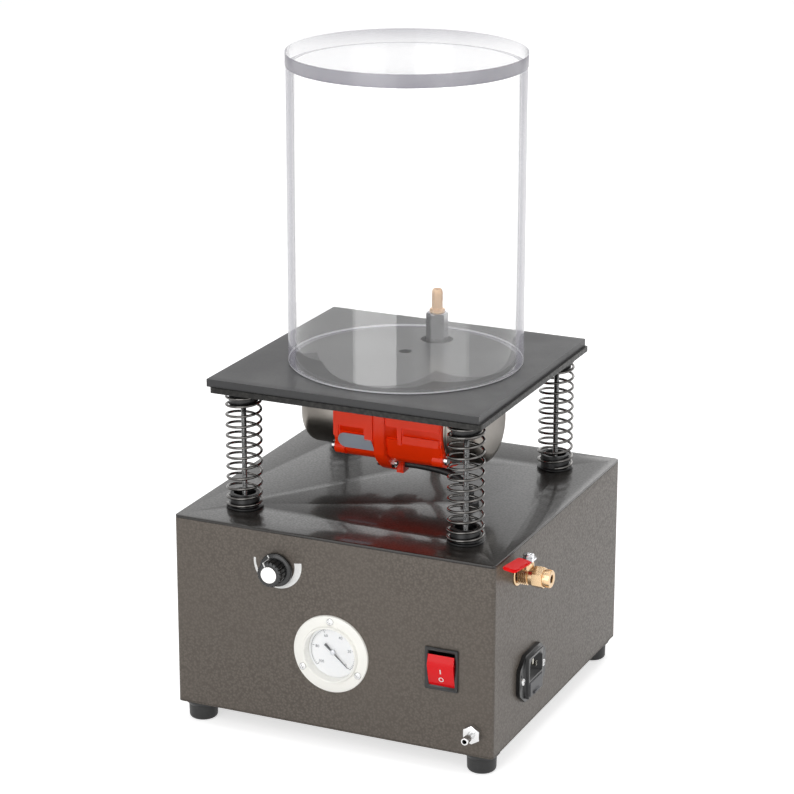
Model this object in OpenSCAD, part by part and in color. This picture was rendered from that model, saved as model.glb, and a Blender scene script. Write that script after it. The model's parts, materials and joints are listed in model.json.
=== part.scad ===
// Bench machine for jewelry casting: a steel case carries a sprung, vibrating table, and a clear
// vacuum jar stands on the table's rubber mat. Millimetres. The origin is the middle of the case's
// underside, +X is to the right along the front, +Y to the back, +Z up.

/* [Case] */
// Width of the case, left to right
case_w = 250; // [240:1:320]
// Depth of the case, front to back
case_d = 250; // [240:1:320]
// Height of the case without its feet
case_h = 145.5; // [140:0.5:200]
// Thickness of the case's folded sheet
sheet_t = 1.5; // [1:0.1:2.5]
// Outer radius of the case's folded corners
bend_r = 3; // [2.6:0.1:6]
// Thickness of the top cover
cover_t = 2; // [1.5:0.1:4]
// Width of the flange that is turned in under the top cover
top_flange_w = 12; // [8:1:20]
// Width of the flange that is turned in over the bottom plate
base_flange_w = 21; // [20:1:30]

/* [Feet] */
// Height of a rubber foot
foot_h = 15; // [10:1:30]
// Diameter of a rubber foot
foot_d = 21; // [18:1:30]
// Distance from a foot's middle to the case's two nearest sides
foot_inset = 13.6; // [13.4:0.1:15]

/* [Sprung table] */
// Side of the square table plate
table_w = 210; // [200:1:230]
// Thickness of the table plate
table_t = 4; // [3:0.5:8]
// Free height between the case's top and the table's underside
table_gap = 89; // [84:0.5:110]
// Thickness of the rubber mat
mat_t = 6; // [3:0.5:10]
// Distance from the middle to each spring, in X and in Y
spring_reach = 87; // [80:1:90]
// Diameter of the spring wire
wire_d = 2; // [1.5:0.1:2.4]
// Outer diameter of a spring
spring_od = 27; // [26:0.5:32]
// Number of turns in a spring
spring_turns = 11.5; // [8:0.5:12.5]
// Diameter of a guide rod
rod_d = 4; // [3:0.5:5]
// How far a guide rod reaches below the case's top
rod_reach = 17.5; // [16:0.5:25]
// Gap between a rod's washer and the cover, which stops the table as it rises
rebound_gap = 4; // [4:0.5:6]

/* [Jar] */
// Place of the jar's middle along X
jar_x = 2; // [-5:0.5:5]
// Outer diameter of the clear jar
jar_d = 172; // [140:1:190]
// Thickness of the jar's wall
jar_wall = 5; // [3:0.5:8]
// Height of the jar with its lid
jar_h = 228; // [150:1:320]
// Thickness of the jar's lid
lid_t = 10; // [5:1:15]

/* [Vacuum port in the table] */
// Place of the port along X
port_x = 2.6; // [-30:0.1:30]
// Place of the port along Y
port_y = 55.8; // [52:0.1:60]
// Width of the port's hexagon coupling across its flats
coupling_af = 14.5; // [14:0.5:18]
// Height of the coupling above the table plate
coupling_h = 27; // [20:1:35]

/* [Vibration motor] */
// Radius of the red motor casting
motor_r = 33.5; // [33:0.5:34.5]
// Radius of the two flanges that clamp the castings together
motor_rib_r = 42; // [40:0.5:44]
// Radius of the stainless end covers
motor_cover_r = 29; // [28:0.5:29.5]
// Length of the motor over its end covers
motor_l = 145; // [137:1:150]
// Distance from the table's underside to the motor's axis
motor_drop = 32; // [31:0.5:34]

/* [Front panel] */
// Place of the speed knob along X
knob_x = -42.3; // [-60:0.1:-35]
// Height of the speed knob's axis
knob_z = 117; // [105:0.5:120]
// Place of the vacuum gauge along X
gauge_x = 0; // [-10:0.5:10]
// Height of the vacuum gauge's axis
gauge_z = 59; // [50:0.5:70]
// Diameter of the gauge's flange
gauge_flange_d = 58.5; // [56:0.5:62]
// Place of the rocker switch along X
switch_x = 86; // [75:0.5:92]
// Height of the rocker switch's middle
switch_z = 62.5; // [55:0.5:75]
// Place of the hose nipple along X
nipple_x = 110.5; // [104:0.5:112]
// Height of the hose nipple's axis
nipple_z = 18.3; // [14:0.1:24]
// Outer diameter of the hose nipple
nipple_d = 5.5; // [4:0.5:8]
// Length of the hose nipple in front of its hexagon
nipple_l = 12; // [8:1:20]

/* [Right side] */
// Place of the release valve along Y
valve_y = -82.8; // [-84:0.1:-80]
// Height of the release valve's axis
valve_z = 125.5; // [118:0.5:128]
// Bore of the release valve
valve_bore = 6; // [4:0.5:6.5]
// Length of the valve's lever
lever_l = 38; // [28:1:42]
// Place of the power inlet along Y
inlet_y = -57.3; // [-60:0.1:-50]
// Height of the power inlet's middle
inlet_z = 41; // [36:0.5:48]

/* [Hidden] */
$fn = 64;
cut = 0.5;

// Planes of the case
front = -case_d / 2;
right = case_w / 2;
cover_z = case_h - cover_t;
cover_hole_r = 3.5;

// Levels of the table
table_z = case_h + table_gap;
mat_z = table_z + table_t;
jar_z = mat_z + mat_t;
corners = [[-1, -1], [1, -1], [-1, 1], [1, 1]];
sink_r = rod_d;
sink_h = sink_r - rod_d / 2;

// Spring cups: the spring turns round the cup's wall and rests on its flange
cup_flange_t = 1.5;
cup_r = spring_od / 2 - wire_d - 0.8;
cup_wall = 2.5;
cup_floor = 2;
lower_cup_h = 11;
upper_cup_h = 10.5;
seat_gap = 0.3;
spring_steps = 8;
turn_growth = (1 + 1 / cos(180 / spring_steps)) / 2;
spring_r = (spring_od - wire_d) / 2 * turn_growth;
spring_z0 = case_h + cup_flange_t + seat_gap + wire_d / 2;
spring_z1 = table_z - cup_flange_t - seat_gap - wire_d / 2;

// Rod nuts and washers under the cover
washer_t = 1;
washer_z = cover_z - rebound_gap - washer_t;
nut_h = 5;

// Vibration motor, on an axis along X
motor_z = table_z - motor_drop;
motor_end = motor_l / 2;
housing_left_x = -41;
housing_right_x = 45;
seam_x = -3.5;
rib_t = 4;
rib_reach = 36;
stator_r = 28;
rotor_r = 16.6;
shaft_r = 5;
bearing_r = 13;
bearing_w = 9;
end_wall = 11;
foot_y = 36;
mount_x = 20;
rib_bolt_r = 38;
rib_bolt_angles = [-122, -58];
lobe_y = 27;
lobe_z = 22;
weight_r = 22;
weight_w = 10;
running = 0.03;

// Gauge
can_r = 20;
window_r = 19.6;
gauge_screw_r = 25;
gauge_screw_angles = [90, 210, 330];

// Switch
switch_w = 25;
switch_h = 31.5;
switch_body = [21.8, 28.4];
rocker = [20, 24];
rocker_pivot_y = front + 6;
rocker_tilt = 10;

// Valve
stem_x = right + 8;
ball_r = 5;
lever_z = valve_z + 12.5;

// Inlet
inlet_block = [27, 31];
inlet_screw_y = 19.5;
drawer = [23.6, 10.6];
drawer_z = inlet_z - 9;
socket_x = 12;
socket_y = 7.8;
socket_slant = 4;
socket_z = inlet_z + 6;

// Hoses and cables
hose_r = 4;
cable_r = 2.7;
wire_r = 1.6;
grommet_t = 2;
cable_x = 60;
cable_y = -15;
hose_top_z = table_z - 22;

// Pump, on an axis along X
pump_y = 52;
pump_z = 58;
pump_r = 34;
pump_x0 = -35;
pump_x1 = 45;
pump_foot_z = 14;
pump_base_t = 3;
pump_shaft_r = 4;

// Manifold
block = [60, 16, 16];
block_x = 56;
block_y = -32;
block_z = 39.5;
barb_l = 10;

// A point outward from the front wall: local X is X, local Y is Z, local Z is forward
module at_front(x, z) {
    translate([x, front, z]) rotate([90, 0, 0]) children();
}

// A point outward from the right wall: local X is Y, local Y is Z, local Z is outward
module at_right(y, z) {
    translate([right, y, z]) rotate([90, 0, 90]) children();
}

module along_x(x) {
    translate([x, 0, 0]) rotate([0, 90, 0]) children();
}

module at_motor() {
    translate([0, 0, motor_z]) children();
}

module at_corners(reach) {
    for (c = corners) translate([c[0] * reach, c[1] * reach, 0]) children();
}

module rounded_rect(w, d, r) {
    square([w - 2 * r, d], center = true);
    square([w, d - 2 * r], center = true);
    for (c = corners) translate([c[0] * (w / 2 - r), c[1] * (d / 2 - r)]) circle(r);
}

module hexagon(af, h) {
    rotate(30) cylinder(d = af / cos(30), h = h, $fn = 6);
}

module ring(r_out, r_in, h) {
    difference() {
        cylinder(r = r_out, h = h);
        translate([0, 0, -cut]) cylinder(r = r_in, h = h + 2 * cut);
    }
}

module pan_screw(d, l, head_r, head_h) {
    cylinder(r = head_r, h = head_h);
    translate([0, 0, -l]) cylinder(d = d, h = l);
}

// Smooth curve through hand-picked points
function spline(a, b, c, d, t) = 0.5 * (2 * b + (c - a) * t + (2 * a - 5 * b + 4 * c - d) * t * t
    + (3 * b - a - 3 * c + d) * t * t * t);
function curve(p, n) = concat([for (i = [0 : len(p) - 2], k = [0 : n - 1])
    spline(p[max(i - 1, 0)], p[i], p[i + 1], p[min(i + 2, len(p) - 1)], k / n)], [p[len(p) - 1]]);

// Both ends of a line are straight, so that it leaves its fitting squarely
function smooth(p, n) = let (m = len(p) - 1) curve(concat([p[0], (p[0] + p[1]) / 2],
    [for (i = [1 : m - 1]) p[i]], [(p[m - 1] + p[m]) / 2, p[m]]), n);

// A round tube swept along points, its rings turned as little as they can be
function unit(v) = v / norm(v);
function heading(p, i) = unit(p[min(i + 1, len(p) - 1)] - p[max(i - 1, 0)]);
function sides(p, i, u) = i == len(p) ? []
    : let (t = heading(p, i), w = unit(u - (u * t) * t)) concat([w], sides(p, i + 1, w));
module sweep(p, r, n, start) {
    u = sides(p, 0, start);
    points = [for (i = [0 : len(p) - 1], k = [0 : n - 1]) let (v = cross(heading(p, i), u[i]))
        p[i] + r * (cos(360 * k / n) * u[i] + sin(360 * k / n) * v)];
    last = (len(p) - 1) * n;
    walls = [for (i = [0 : len(p) - 2], k = [0 : n - 1]) let (a = i * n + k, b = i * n + (k + 1) % n)
        each [[a, a + n, b], [b, a + n, b + n]]];
    caps = [for (k = [1 : n - 2]) each [[0, k, k + 1], [last, last + k + 1, last + k]]];
    polyhedron(points, concat(walls, caps));
}

// Case

module front_cuts() {
    at_front(knob_x, knob_z) translate([0, 0, -3]) cylinder(r = 3.7, h = 6);
    at_front(gauge_x, gauge_z) translate([0, 0, -3]) {
        cylinder(r = can_r + 0.4, h = 6);
        for (a = gauge_screw_angles) rotate(a) translate([gauge_screw_r, 0, 0]) cylinder(r = 1.55, h = 6);
    }
    at_front(switch_x, switch_z) translate([0, 0, -3])
        linear_extrude(6) square(switch_body + [0.4, 0.4], center = true);
    at_front(nipple_x, nipple_z) translate([0, 0, -3]) cylinder(r = 3.2, h = 6);
}

module right_cuts() {
    at_right(valve_y, valve_z) translate([0, 0, -3]) cylinder(r = 5.2, h = 6);
    at_right(inlet_y, inlet_z) translate([0, 0, -3]) {
        linear_extrude(6) square(inlet_block + [0.4, 0.4], center = true);
        for (s = [-1, 1]) translate([s * inlet_screw_y, 0, 0]) cylinder(r = 1.55, h = 6);
    }
}

vent_count = 9;
vent_pitch = 14;
vent_h = 34;
module rear_vents() {
    for (row = [0, 1], i = [0 : vent_count - 1])
        translate([(i - (vent_count - 1) / 2) * vent_pitch, case_d / 2, case_h * (0.3 + 0.36 * row)])
            rotate([90, 0, 0]) translate([0, 0, -3]) linear_extrude(6) {
                square([4, vent_h - 4], center = true);
                for (s = [-1, 1]) translate([0, s * (vent_h - 4) / 2]) circle(2);
            }
}

module case_shell() {
    color("#5b534d") difference() {
        union() {
            translate([0, 0, sheet_t]) linear_extrude(cover_z - sheet_t) difference() {
                rounded_rect(case_w, case_d, bend_r);
                rounded_rect(case_w - 2 * sheet_t, case_d - 2 * sheet_t, bend_r - sheet_t);
            }
            translate([0, 0, cover_z - sheet_t]) linear_extrude(sheet_t) difference() {
                rounded_rect(case_w - sheet_t, case_d - sheet_t, bend_r - sheet_t / 2);
                square([case_w - 2 * top_flange_w, case_d - 2 * top_flange_w], center = true);
            }
            translate([0, 0, sheet_t]) linear_extrude(sheet_t) difference() {
                rounded_rect(case_w - sheet_t, case_d - sheet_t, bend_r - sheet_t / 2);
                square([case_w - 2 * base_flange_w, case_d - 2 * base_flange_w], center = true);
            }
        }
        front_cuts();
        right_cuts();
        rear_vents();
        foot_holes();
    }
}

module foot_holes() {
    for (c = corners) translate([c[0] * (case_w / 2 - foot_inset), c[1] * (case_d / 2 - foot_inset), -cut])
        cylinder(r = 2.2, h = 2 * sheet_t + 2 * cut);
}

module top_cover() {
    color("#6a635d") translate([0, 0, cover_z]) linear_extrude(cover_t) difference() {
        rounded_rect(case_w, case_d, bend_r);
        for (c = corners) translate(c * spring_reach) circle(cover_hole_r);
        translate([port_x, port_y]) circle(hose_r + grommet_t);
        translate([cable_x, cable_y]) circle(cable_r + grommet_t);
    }
}

module bottom_plate() {
    color("#57504a") {
        difference() {
            linear_extrude(sheet_t) rounded_rect(case_w, case_d, bend_r);
            foot_holes();
        }
        at_pump_feet() cylinder(r = 2, h = pump_foot_z + 7.5);
    }
}

module at_feet() {
    for (c = corners) translate([c[0] * (case_w / 2 - foot_inset), c[1] * (case_d / 2 - foot_inset), 0])
        children();
}

foot_round = 2.5;
foot_sink = 6;
module rubber_feet() {
    r = foot_d / 2;
    color("#1b1b1c") at_feet() difference() {
        rotate_extrude() polygon(concat(
            [[0, 0], [r + 2.7, 0], [r + 2.7, -1.2], [r, -4.5]],
            [for (a = [0 : 15 : 90]) [r - foot_round + foot_round * cos(a),
                foot_round - foot_h - foot_round * sin(a)]],
            [[0, -foot_h]]));
        translate([0, 0, -foot_h - cut]) cylinder(r = 4.5, h = foot_sink + cut);
        translate([0, 0, -foot_h]) cylinder(r = 2.15, h = foot_h + cut);
    }
}

module screw_nut() {
    difference() {
        hexagon(7, 3.2);
        translate([0, 0, -cut]) cylinder(r = 2, h = 3.2 + 2 * cut);
    }
}

module base_screws() {
    color("silver") at_feet() {
        translate([0, 0, foot_sink - foot_h]) mirror([0, 0, 1])
            pan_screw(4, foot_h - foot_sink + 7.5, 3.8, 2.4);
        translate([0, 0, 2 * sheet_t]) screw_nut();
    }
    color("silver") at_pump_feet() translate([0, 0, pump_foot_z + pump_base_t]) screw_nut();
}

// Sprung table

module cup(h, bore_r) {
    difference() {
        union() {
            cylinder(r = spring_od / 2, h = cup_flange_t);
            cylinder(r = cup_r, h = h);
        }
        translate([0, 0, cup_floor]) cylinder(r = cup_r - cup_wall, h = h);
        translate([0, 0, -cut]) cylinder(r = bore_r, h = h);
    }
}

module lower_cups() {
    color("#141415") at_corners(spring_reach) translate([0, 0, case_h]) cup(lower_cup_h, rod_d / 2 + 0.5);
}

module upper_cups() {
    color("#141415") at_corners(spring_reach) translate([0, 0, table_z]) mirror([0, 0, 1])
        cup(upper_cup_h, rod_d / 2);
}

rod_end_z = case_h - rod_reach;
module guide_rods() {
    color("#8f8f90") at_corners(spring_reach) {
        translate([0, 0, rod_end_z]) cylinder(d = rod_d, h = mat_z - rod_end_z);
        translate([0, 0, mat_z - sink_h]) cylinder(r1 = rod_d / 2, r2 = sink_r, h = sink_h);
    }
}

module rod_nuts() {
    color("silver") at_corners(spring_reach) {
        translate([0, 0, washer_z]) ring(6, rod_d / 2, washer_t);
        translate([0, 0, washer_z - nut_h]) difference() {
            hexagon(7, nut_h);
            translate([0, 0, -cut]) cylinder(d = rod_d, h = nut_h + 2 * cut);
        }
    }
}

module table_plate() {
    color("#77777a") difference() {
        translate([0, 0, table_z]) linear_extrude(table_t) rounded_rect(table_w, table_w, 2);
        at_corners(spring_reach) {
            translate([0, 0, table_z - cut]) cylinder(d = rod_d, h = table_t + 2 * cut);
            translate([0, 0, mat_z - sink_h]) cylinder(r1 = rod_d / 2, r2 = sink_r, h = sink_h);
        }
        at_mount_bolts() {
            translate([0, 0, table_z - cut]) cylinder(d = mount_bolt_d, h = table_t + 2 * cut);
            translate([0, 0, mat_z - mount_sink_h])
                cylinder(r1 = mount_bolt_d / 2, r2 = mount_sink_r, h = mount_sink_h);
        }
        translate([port_x, port_y, table_z - cut]) cylinder(r = tail_r, h = table_t + 2 * cut);
    }
}

// The mat is cut by hand, a little out of square, and hangs over the plate at the left
mat_hole_r = 4.8;
mat_port_r = 12;
module rubber_mat() {
    w = table_w / 2;
    color("#2b2b2d") translate([0, 0, mat_z]) linear_extrude(mat_t) difference() {
        polygon([[-w - 3, 1.5 - w], [w - 2, 1.5 - w], [w - 2, w - 1.5], [-w - 1, w - 1]]);
        translate([port_x, port_y]) circle(mat_port_r);
        translate([-6, 17]) circle(mat_hole_r);
    }
}

// One unbroken wire: the turns close up towards both ends
end_pitch = 0.56;
function lift(t) = let (e = min(t, spring_turns - t, 2)) end_pitch + (1 - end_pitch) * e / 2;
function climb(i) = i == 0 ? 0 : climb(i - 1) + lift((i - 0.5) / spring_steps);
spring_n = round(spring_turns * spring_steps);
climb_all = climb(spring_n);
function spring_path(phase) = [for (i = [0 : spring_n]) let (a = phase + 360 * i / spring_steps)
    [spring_r * cos(a), spring_r * sin(a), spring_z0 + (spring_z1 - spring_z0) * climb(i) / climb_all]];
module spring(c, phase) {
    color("#6f6f70") translate([c[0] * spring_reach, c[1] * spring_reach, 0])
        sweep(spring_path(phase), wire_d / 2, 6, [0, 0, 1]);
}
spring_least = min([for (i = [0 : spring_n - spring_steps + 1], k = [-1 : 1])
    let (p = spring_path(0), j = i + spring_steps + k) if (j <= spring_n) norm(p[j] - p[i])]) - wire_d;
echo(spring_gap_to_itself = spring_least);
module spring_front_left() spring([-1, -1], 200);
module spring_front_right() spring([1, -1], 160);
module spring_back_left() spring([-1, 1], 20);
module spring_back_right() spring([1, 1], 290);

// Vacuum port in the table

tail_r = 6.5;
tail_nut_h = 5;
filter_r = 4.1;
module port_coupling() {
    color("#9a9a9c") translate([port_x, port_y, 0]) difference() {
        union() {
            translate([0, 0, mat_z]) hexagon(coupling_af, coupling_h);
            translate([0, 0, table_z - tail_nut_h - 2])
                cylinder(r = tail_r, h = table_t + tail_nut_h + 2 + cut);
        }
        translate([0, 0, table_z - 20]) cylinder(r = filter_r, h = coupling_h + 40);
    }
}

filter_z = mat_z + coupling_h;
module port_filter() {
    color("#b8874a") translate([port_x, port_y, 0]) difference() {
        union() {
            translate([0, 0, filter_z - 8]) cylinder(r = filter_r, h = 26);
            translate([0, 0, filter_z]) hexagon(10, 3);
        }
        translate([0, 0, filter_z - 9]) cylinder(r = 2.2, h = 40);
        translate([0, 0, filter_z + 14]) cube([20, 1, 10], center = true);
    }
}

module port_tail() {
    color("#b08a4a") translate([port_x, port_y, 0]) {
        translate([0, 0, table_z - tail_nut_h]) difference() {
            hexagon(18, tail_nut_h);
            translate([0, 0, -cut]) cylinder(r = tail_r, h = tail_nut_h + 2 * cut);
        }
        translate([0, 0, hose_top_z]) difference() {
            cylinder(r = filter_r, h = table_z - hose_top_z + 2);
            translate([0, 0, -cut]) cylinder(r = 2.2, h = 40);
        }
    }
}

// Vibration motor

mount_bolt_d = 6;
mount_sink_r = 6;
mount_sink_h = 3;
foot_t = 10.5;
module at_mount_bolts() {
    for (sx = [-1, 1], sy = [-1, 1]) translate([sx * mount_x, sy * foot_y, 0]) children();
}

// A casting that runs from x0 to x1, with its clamping flange at the seam
module casting(x0, x1, flange_x, lobe_x) {
    difference() {
        intersection() {
            union() {
                along_x(x0) cylinder(r = motor_r, h = x1 - x0);
                along_x(flange_x) intersection() {
                    cylinder(r = motor_rib_r, h = rib_t);
                    translate([-60, -rib_reach, -1]) cube([120, 2 * rib_reach, rib_t + 2]);
                }
                for (sy = [-1, 1], sz = [-1, 1]) translate([lobe_x, sy * lobe_y, sz * lobe_z])
                    rotate([0, 90, 0]) cylinder(r = 5.5, h = 8);
                translate([x0 + 9, -foot_y - 7, motor_drop - foot_t])
                    cube([x1 - x0 - 14, 2 * foot_y + 14, foot_t]);
            }
            translate([x0 - 1, -60, -60]) cube([x1 - x0 + 2, 120, 60 + motor_drop]);
        }
        for (a = rib_bolt_angles) rotate([a, 0, 0]) translate([flange_x - 1, rib_bolt_r, 0])
            rotate([0, 90, 0]) cylinder(r = 2, h = rib_t + 2);
        for (sy = [-1, 1], sz = [-1, 1]) translate([lobe_x - 1, sy * lobe_y, sz * lobe_z])
            rotate([0, 90, 0]) cylinder(r = 2, h = 10);
        for (sx = [-1, 1], sy = [-1, 1]) translate([sx * mount_x, sy * foot_y, 0])
            cylinder(d = mount_bolt_d, h = 60);
    }
}

module motor_housing_left() {
    color("#e8391b") at_motor() difference() {
        casting(housing_left_x, seam_x, seam_x - rib_t, housing_left_x);
        along_x(housing_left_x + end_wall) cylinder(r = stator_r, h = 60);
        along_x(housing_left_x - 1) cylinder(r = bearing_r, h = 60);
    }
}

module motor_housing_right() {
    color("#e8391b") at_motor() {
        difference() {
            casting(seam_x, housing_right_x, seam_x, housing_right_x - 8);
            along_x(seam_x - 1) cylinder(r = stator_r, h = housing_right_x - end_wall - seam_x + 1);
            along_x(seam_x - 1) cylinder(r = bearing_r, h = 60);
        }
        translate([seam_x + rib_t, -13, -42]) cube([gland_l, 10, 9.5]);
    }
}
gland_l = 5.5;
gland_x = seam_x + rib_t + gland_l;

cover_wall = 1.2;
cover_round = 9;
module end_cover(l) {
    rotate_extrude() difference() {
        polygon(concat([[0, 0], [motor_cover_r, 0]],
            [for (a = [0 : 10 : 90]) [motor_cover_r - cover_round + cover_round * cos(a),
                l - cover_round + cover_round * sin(a)]], [[0, l]]));
        polygon(concat([[0, -1], [motor_cover_r - cover_wall, -1]],
            [for (a = [0 : 10 : 90]) [motor_cover_r - cover_round + (cover_round - cover_wall) * cos(a),
                l - cover_round + (cover_round - cover_wall) * sin(a)]], [[0, l - cover_wall]]));
    }
}

module motor_cover_left() {
    color("#b5b3ae") at_motor() translate([housing_left_x, 0, 0]) rotate([0, -90, 0])
        end_cover(motor_end + housing_left_x);
}

module motor_cover_right() {
    color("#b5b3ae") at_motor() translate([housing_right_x, 0, 0]) rotate([0, 90, 0])
        end_cover(motor_end - housing_right_x);
}

stator_x0 = -21;
stator_l = 44;
winding_l = 6;
module motor_stator() {
    color("#9c7a4a") at_motor() {
        along_x(stator_x0) ring(stator_r, rotor_r + 0.4, stator_l);
        along_x(stator_x0 - winding_l) ring(stator_r - 3, rotor_r + 2, winding_l);
        along_x(stator_x0 + stator_l) ring(stator_r - 3, rotor_r + 2, winding_l);
    }
}

module motor_bearings() {
    color("silver") at_motor() {
        along_x(housing_left_x) ring(bearing_r, shaft_r + running, bearing_w);
        along_x(housing_right_x - bearing_w) ring(bearing_r, shaft_r + running, bearing_w);
    }
}

module motor_rotor() {
    color("#777777") at_motor() {
        along_x(5 - motor_end) cylinder(r = shaft_r, h = motor_l - 10);
        along_x(stator_x0) cylinder(r = rotor_r, h = stator_l);
    }
}

module eccentric_weights() {
    color("#4d4d50") at_motor() for (x = [housing_left_x - 5 - weight_w, housing_right_x + 5])
        difference() {
            along_x(x) cylinder(r = weight_r, h = weight_w);
            along_x(x - cut) cylinder(r = shaft_r, h = weight_w + 2 * cut);
            translate([x - cut, -weight_r - cut, 4.6])
                cube([weight_w + 2 * cut, 2 * weight_r + 2 * cut, weight_r]);
        }
}

module motor_bolts() {
    color("silver") {
        at_mount_bolts() {
            translate([0, 0, mat_z - mount_sink_h])
                cylinder(r1 = mount_bolt_d / 2, r2 = mount_sink_r, h = mount_sink_h);
            translate([0, 0, table_z - foot_t - 8]) cylinder(d = mount_bolt_d, h = table_t + foot_t + 8);
            translate([0, 0, table_z - foot_t - 5]) hexagon(10, 5);
        }
        at_motor() for (a = rib_bolt_angles) rotate([a, 0, 0]) translate([seam_x, rib_bolt_r, 0]) {
            along_x(-rib_t - 3) cylinder(r = 3.4, h = 3);
            along_x(-rib_t - 3) cylinder(r = 2, h = 2 * rib_t + 7);
            along_x(rib_t) hexagon(6.6, 3);
        }
        at_motor() for (sy = [-1, 1], sz = [-1, 1]) translate([0, sy * lobe_y, sz * lobe_z]) {
            along_x(housing_left_x - 3) cylinder(r = 3.6, h = 3);
            along_x(housing_left_x - 1) cylinder(r = 2, h = 9);
            along_x(housing_right_x) cylinder(r = 3.6, h = 3);
            along_x(housing_right_x - 8) cylinder(r = 2, h = 9);
        }
    }
}

// Jar

module jar_tube() {
    color("#dfe6ee", 0.3) translate([jar_x, 0, jar_z]) ring(jar_d / 2, jar_d / 2 - jar_wall, jar_h - lid_t);
}

module jar_lid() {
    color("#dfe6ee", 0.4) translate([jar_x, 0, jar_z + jar_h - lid_t])
        cylinder(r = jar_d / 2 + 0.5, h = lid_t);
}

// Speed control

knob_r = 12.3;
knob_gap = 1;
knob_l = 13.5;
module knob() {
    color("#161616") at_front(knob_x, knob_z) translate([0, 0, knob_gap]) difference() {
        union() {
            cylinder(r = knob_r, h = 3);
            cylinder(r = 9.4, h = knob_l - 0.5);
        }
        for (i = [0 : 17]) rotate(10 + i * 20) translate([9.9, 0, 3.4]) cylinder(r = 0.9, h = knob_l);
        translate([0, 0, -cut]) cylinder(r = 7.2, h = 3 + cut);
        translate([0, 0, -cut]) cylinder(r = 3, h = 11 + cut);
        translate([0, 0, knob_l - 1.5]) cylinder(r = 6.1, h = 2);
    }
}

module knob_cap() {
    color("#e6e6e6") at_front(knob_x, knob_z) translate([0, 0, knob_gap + knob_l - 1.5])
        cylinder(r = 6.1, h = 1.5);
}

module pot_shaft() {
    color("silver") at_front(knob_x, knob_z) translate([0, 0, -11.5]) cylinder(r = 3, h = 23.5);
}

module potentiometer() {
    color("#4a5a4a") at_front(knob_x, knob_z) {
        difference() {
            union() {
                translate([0, 0, -sheet_t - 11]) cylinder(r = 8.5, h = 11);
                translate([0, 0, -sheet_t]) cylinder(r = 3.6, h = 5);
            }
            translate([0, 0, -11.5]) cylinder(r = 3 + running, h = 30);
        }
        difference() {
            hexagon(10, 2);
            translate([0, 0, -cut]) cylinder(r = 3.6, h = 3);
        }
        for (i = [-1, 0, 1]) translate([i * 5 - 0.9, -13.5, -8]) cube([1.8, 8, 0.8]);
    }
}

// Gauge

module gauge_case() {
    color("#e4e2da") at_front(gauge_x, gauge_z) difference() {
        union() {
            cylinder(d = gauge_flange_d, h = 1.8);
            cylinder(r = can_r + 1.6, h = 4.2);
            translate([0, 0, -29]) cylinder(r = can_r, h = 30);
        }
        translate([0, 0, -7]) cylinder(r = window_r, h = 20);
        translate([0, 0, -27.5]) cylinder(r = can_r - 1.6, h = 40);
        translate([0, 0, -30]) cylinder(r = 5, h = 10);
        for (a = gauge_screw_angles) rotate(a) translate([gauge_screw_r, 0, -1]) cylinder(r = 1.6, h = 5);
    }
}

module gauge_dial() {
    color("white") at_front(gauge_x, gauge_z) translate([0, 0, -7]) ring(window_r - 0.2, 1.2, 0.6);
}

module gauge_lens() {
    color("#e8f2f6", 0.3) at_front(gauge_x, gauge_z) translate([0, 0, 2]) cylinder(r = window_r, h = 1.6);
}

module gauge_movement() {
    color("#b08a4a") at_front(gauge_x, gauge_z) difference() {
        union() {
            translate([0, 0, -24]) rotate([0, 0, -50])
                rotate_extrude(angle = 260) translate([13, 0]) square([2, 8]);
            translate([-7, -13.5, -26]) cube([14, 22, 3]);
            translate([-5, -6, -16]) cube([10, 12, 6]);
            for (s = [-1, 1]) translate([s * 3.6, 0, -24]) cylinder(r = 1.2, h = 9);
            translate([0, 0, -39]) cylinder(r = 3, h = 14);
            translate([0, 0, -35]) hexagon(9, 5);
            translate([0, 0, -30.5]) cylinder(r = 5, h = 5);
            rotate([0, 0, -50]) translate([6, -1, -25]) cube([9, 3, 3]);
        }
        translate([0, 0, -17]) cylinder(r = 0.9, h = 10);
        translate([0, 0, -40]) cylinder(r = 1.4, h = 14);
    }
}

// The needle points down to the right, at the scale's zero
needle_angle = -42;
module gauge_needle() {
    color("#1a1a1a") at_front(gauge_x, gauge_z) rotate(needle_angle) {
        translate([0, 0, -5.4]) linear_extrude(0.5) {
            polygon([[0, 1.1], [15.6, 0.25], [15.6, -0.25], [0, -1.1]]);
            polygon([[0, 0.8], [-8, 1.1], [-8, -1.1], [0, -0.8]]);
            circle(2);
        }
        translate([0, 0, -15.5]) cylinder(r = 0.6, h = 10.2);
    }
}

module panel_screws() {
    color("silver") {
        at_front(gauge_x, gauge_z) for (a = gauge_screw_angles) rotate(a)
            translate([gauge_screw_r, 0, 1.8]) pan_screw(3, 8, 2.7, 1.6);
        at_right(inlet_y, inlet_z) for (s = [-1, 1])
            translate([s * inlet_screw_y, 0, inlet_flange_t]) pan_screw(3, 8, 2.7, 1.6);
    }
}

// Rocker switch

switch_face = 2;
module switch_frame() {
    color("#141414") at_front(switch_x, switch_z) {
        difference() {
            union() {
                linear_extrude(switch_face) square([switch_w, switch_h], center = true);
                translate([0, 0, -22]) linear_extrude(22) square(switch_body, center = true);
            }
            translate([0, 0, -13]) linear_extrude(20) square([rocker[0] + 0.6, rocker[1] + 3], center = true);
        }
        for (x = [-5, 5], z = [-7, 7]) translate([x - 2.4, z - 0.4, -30]) cube([4.8, 0.8, 8]);
    }
}

module switch_rocker() {
    color("#d8151c") translate([switch_x, rocker_pivot_y, switch_z]) rotate([rocker_tilt, 0, 0])
        rotate([90, 0, 90]) translate([0, 0, -rocker[0] / 2]) linear_extrude(rocker[0])
            polygon([[-8.5, rocker[1] / 2], [-7.9, 0], [-8.5, -rocker[1] / 2], [-6, -rocker[1] / 2],
                [1, -7], [3, -3], [3, 3], [1, 7], [-6, rocker[1] / 2]]);
}

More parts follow.
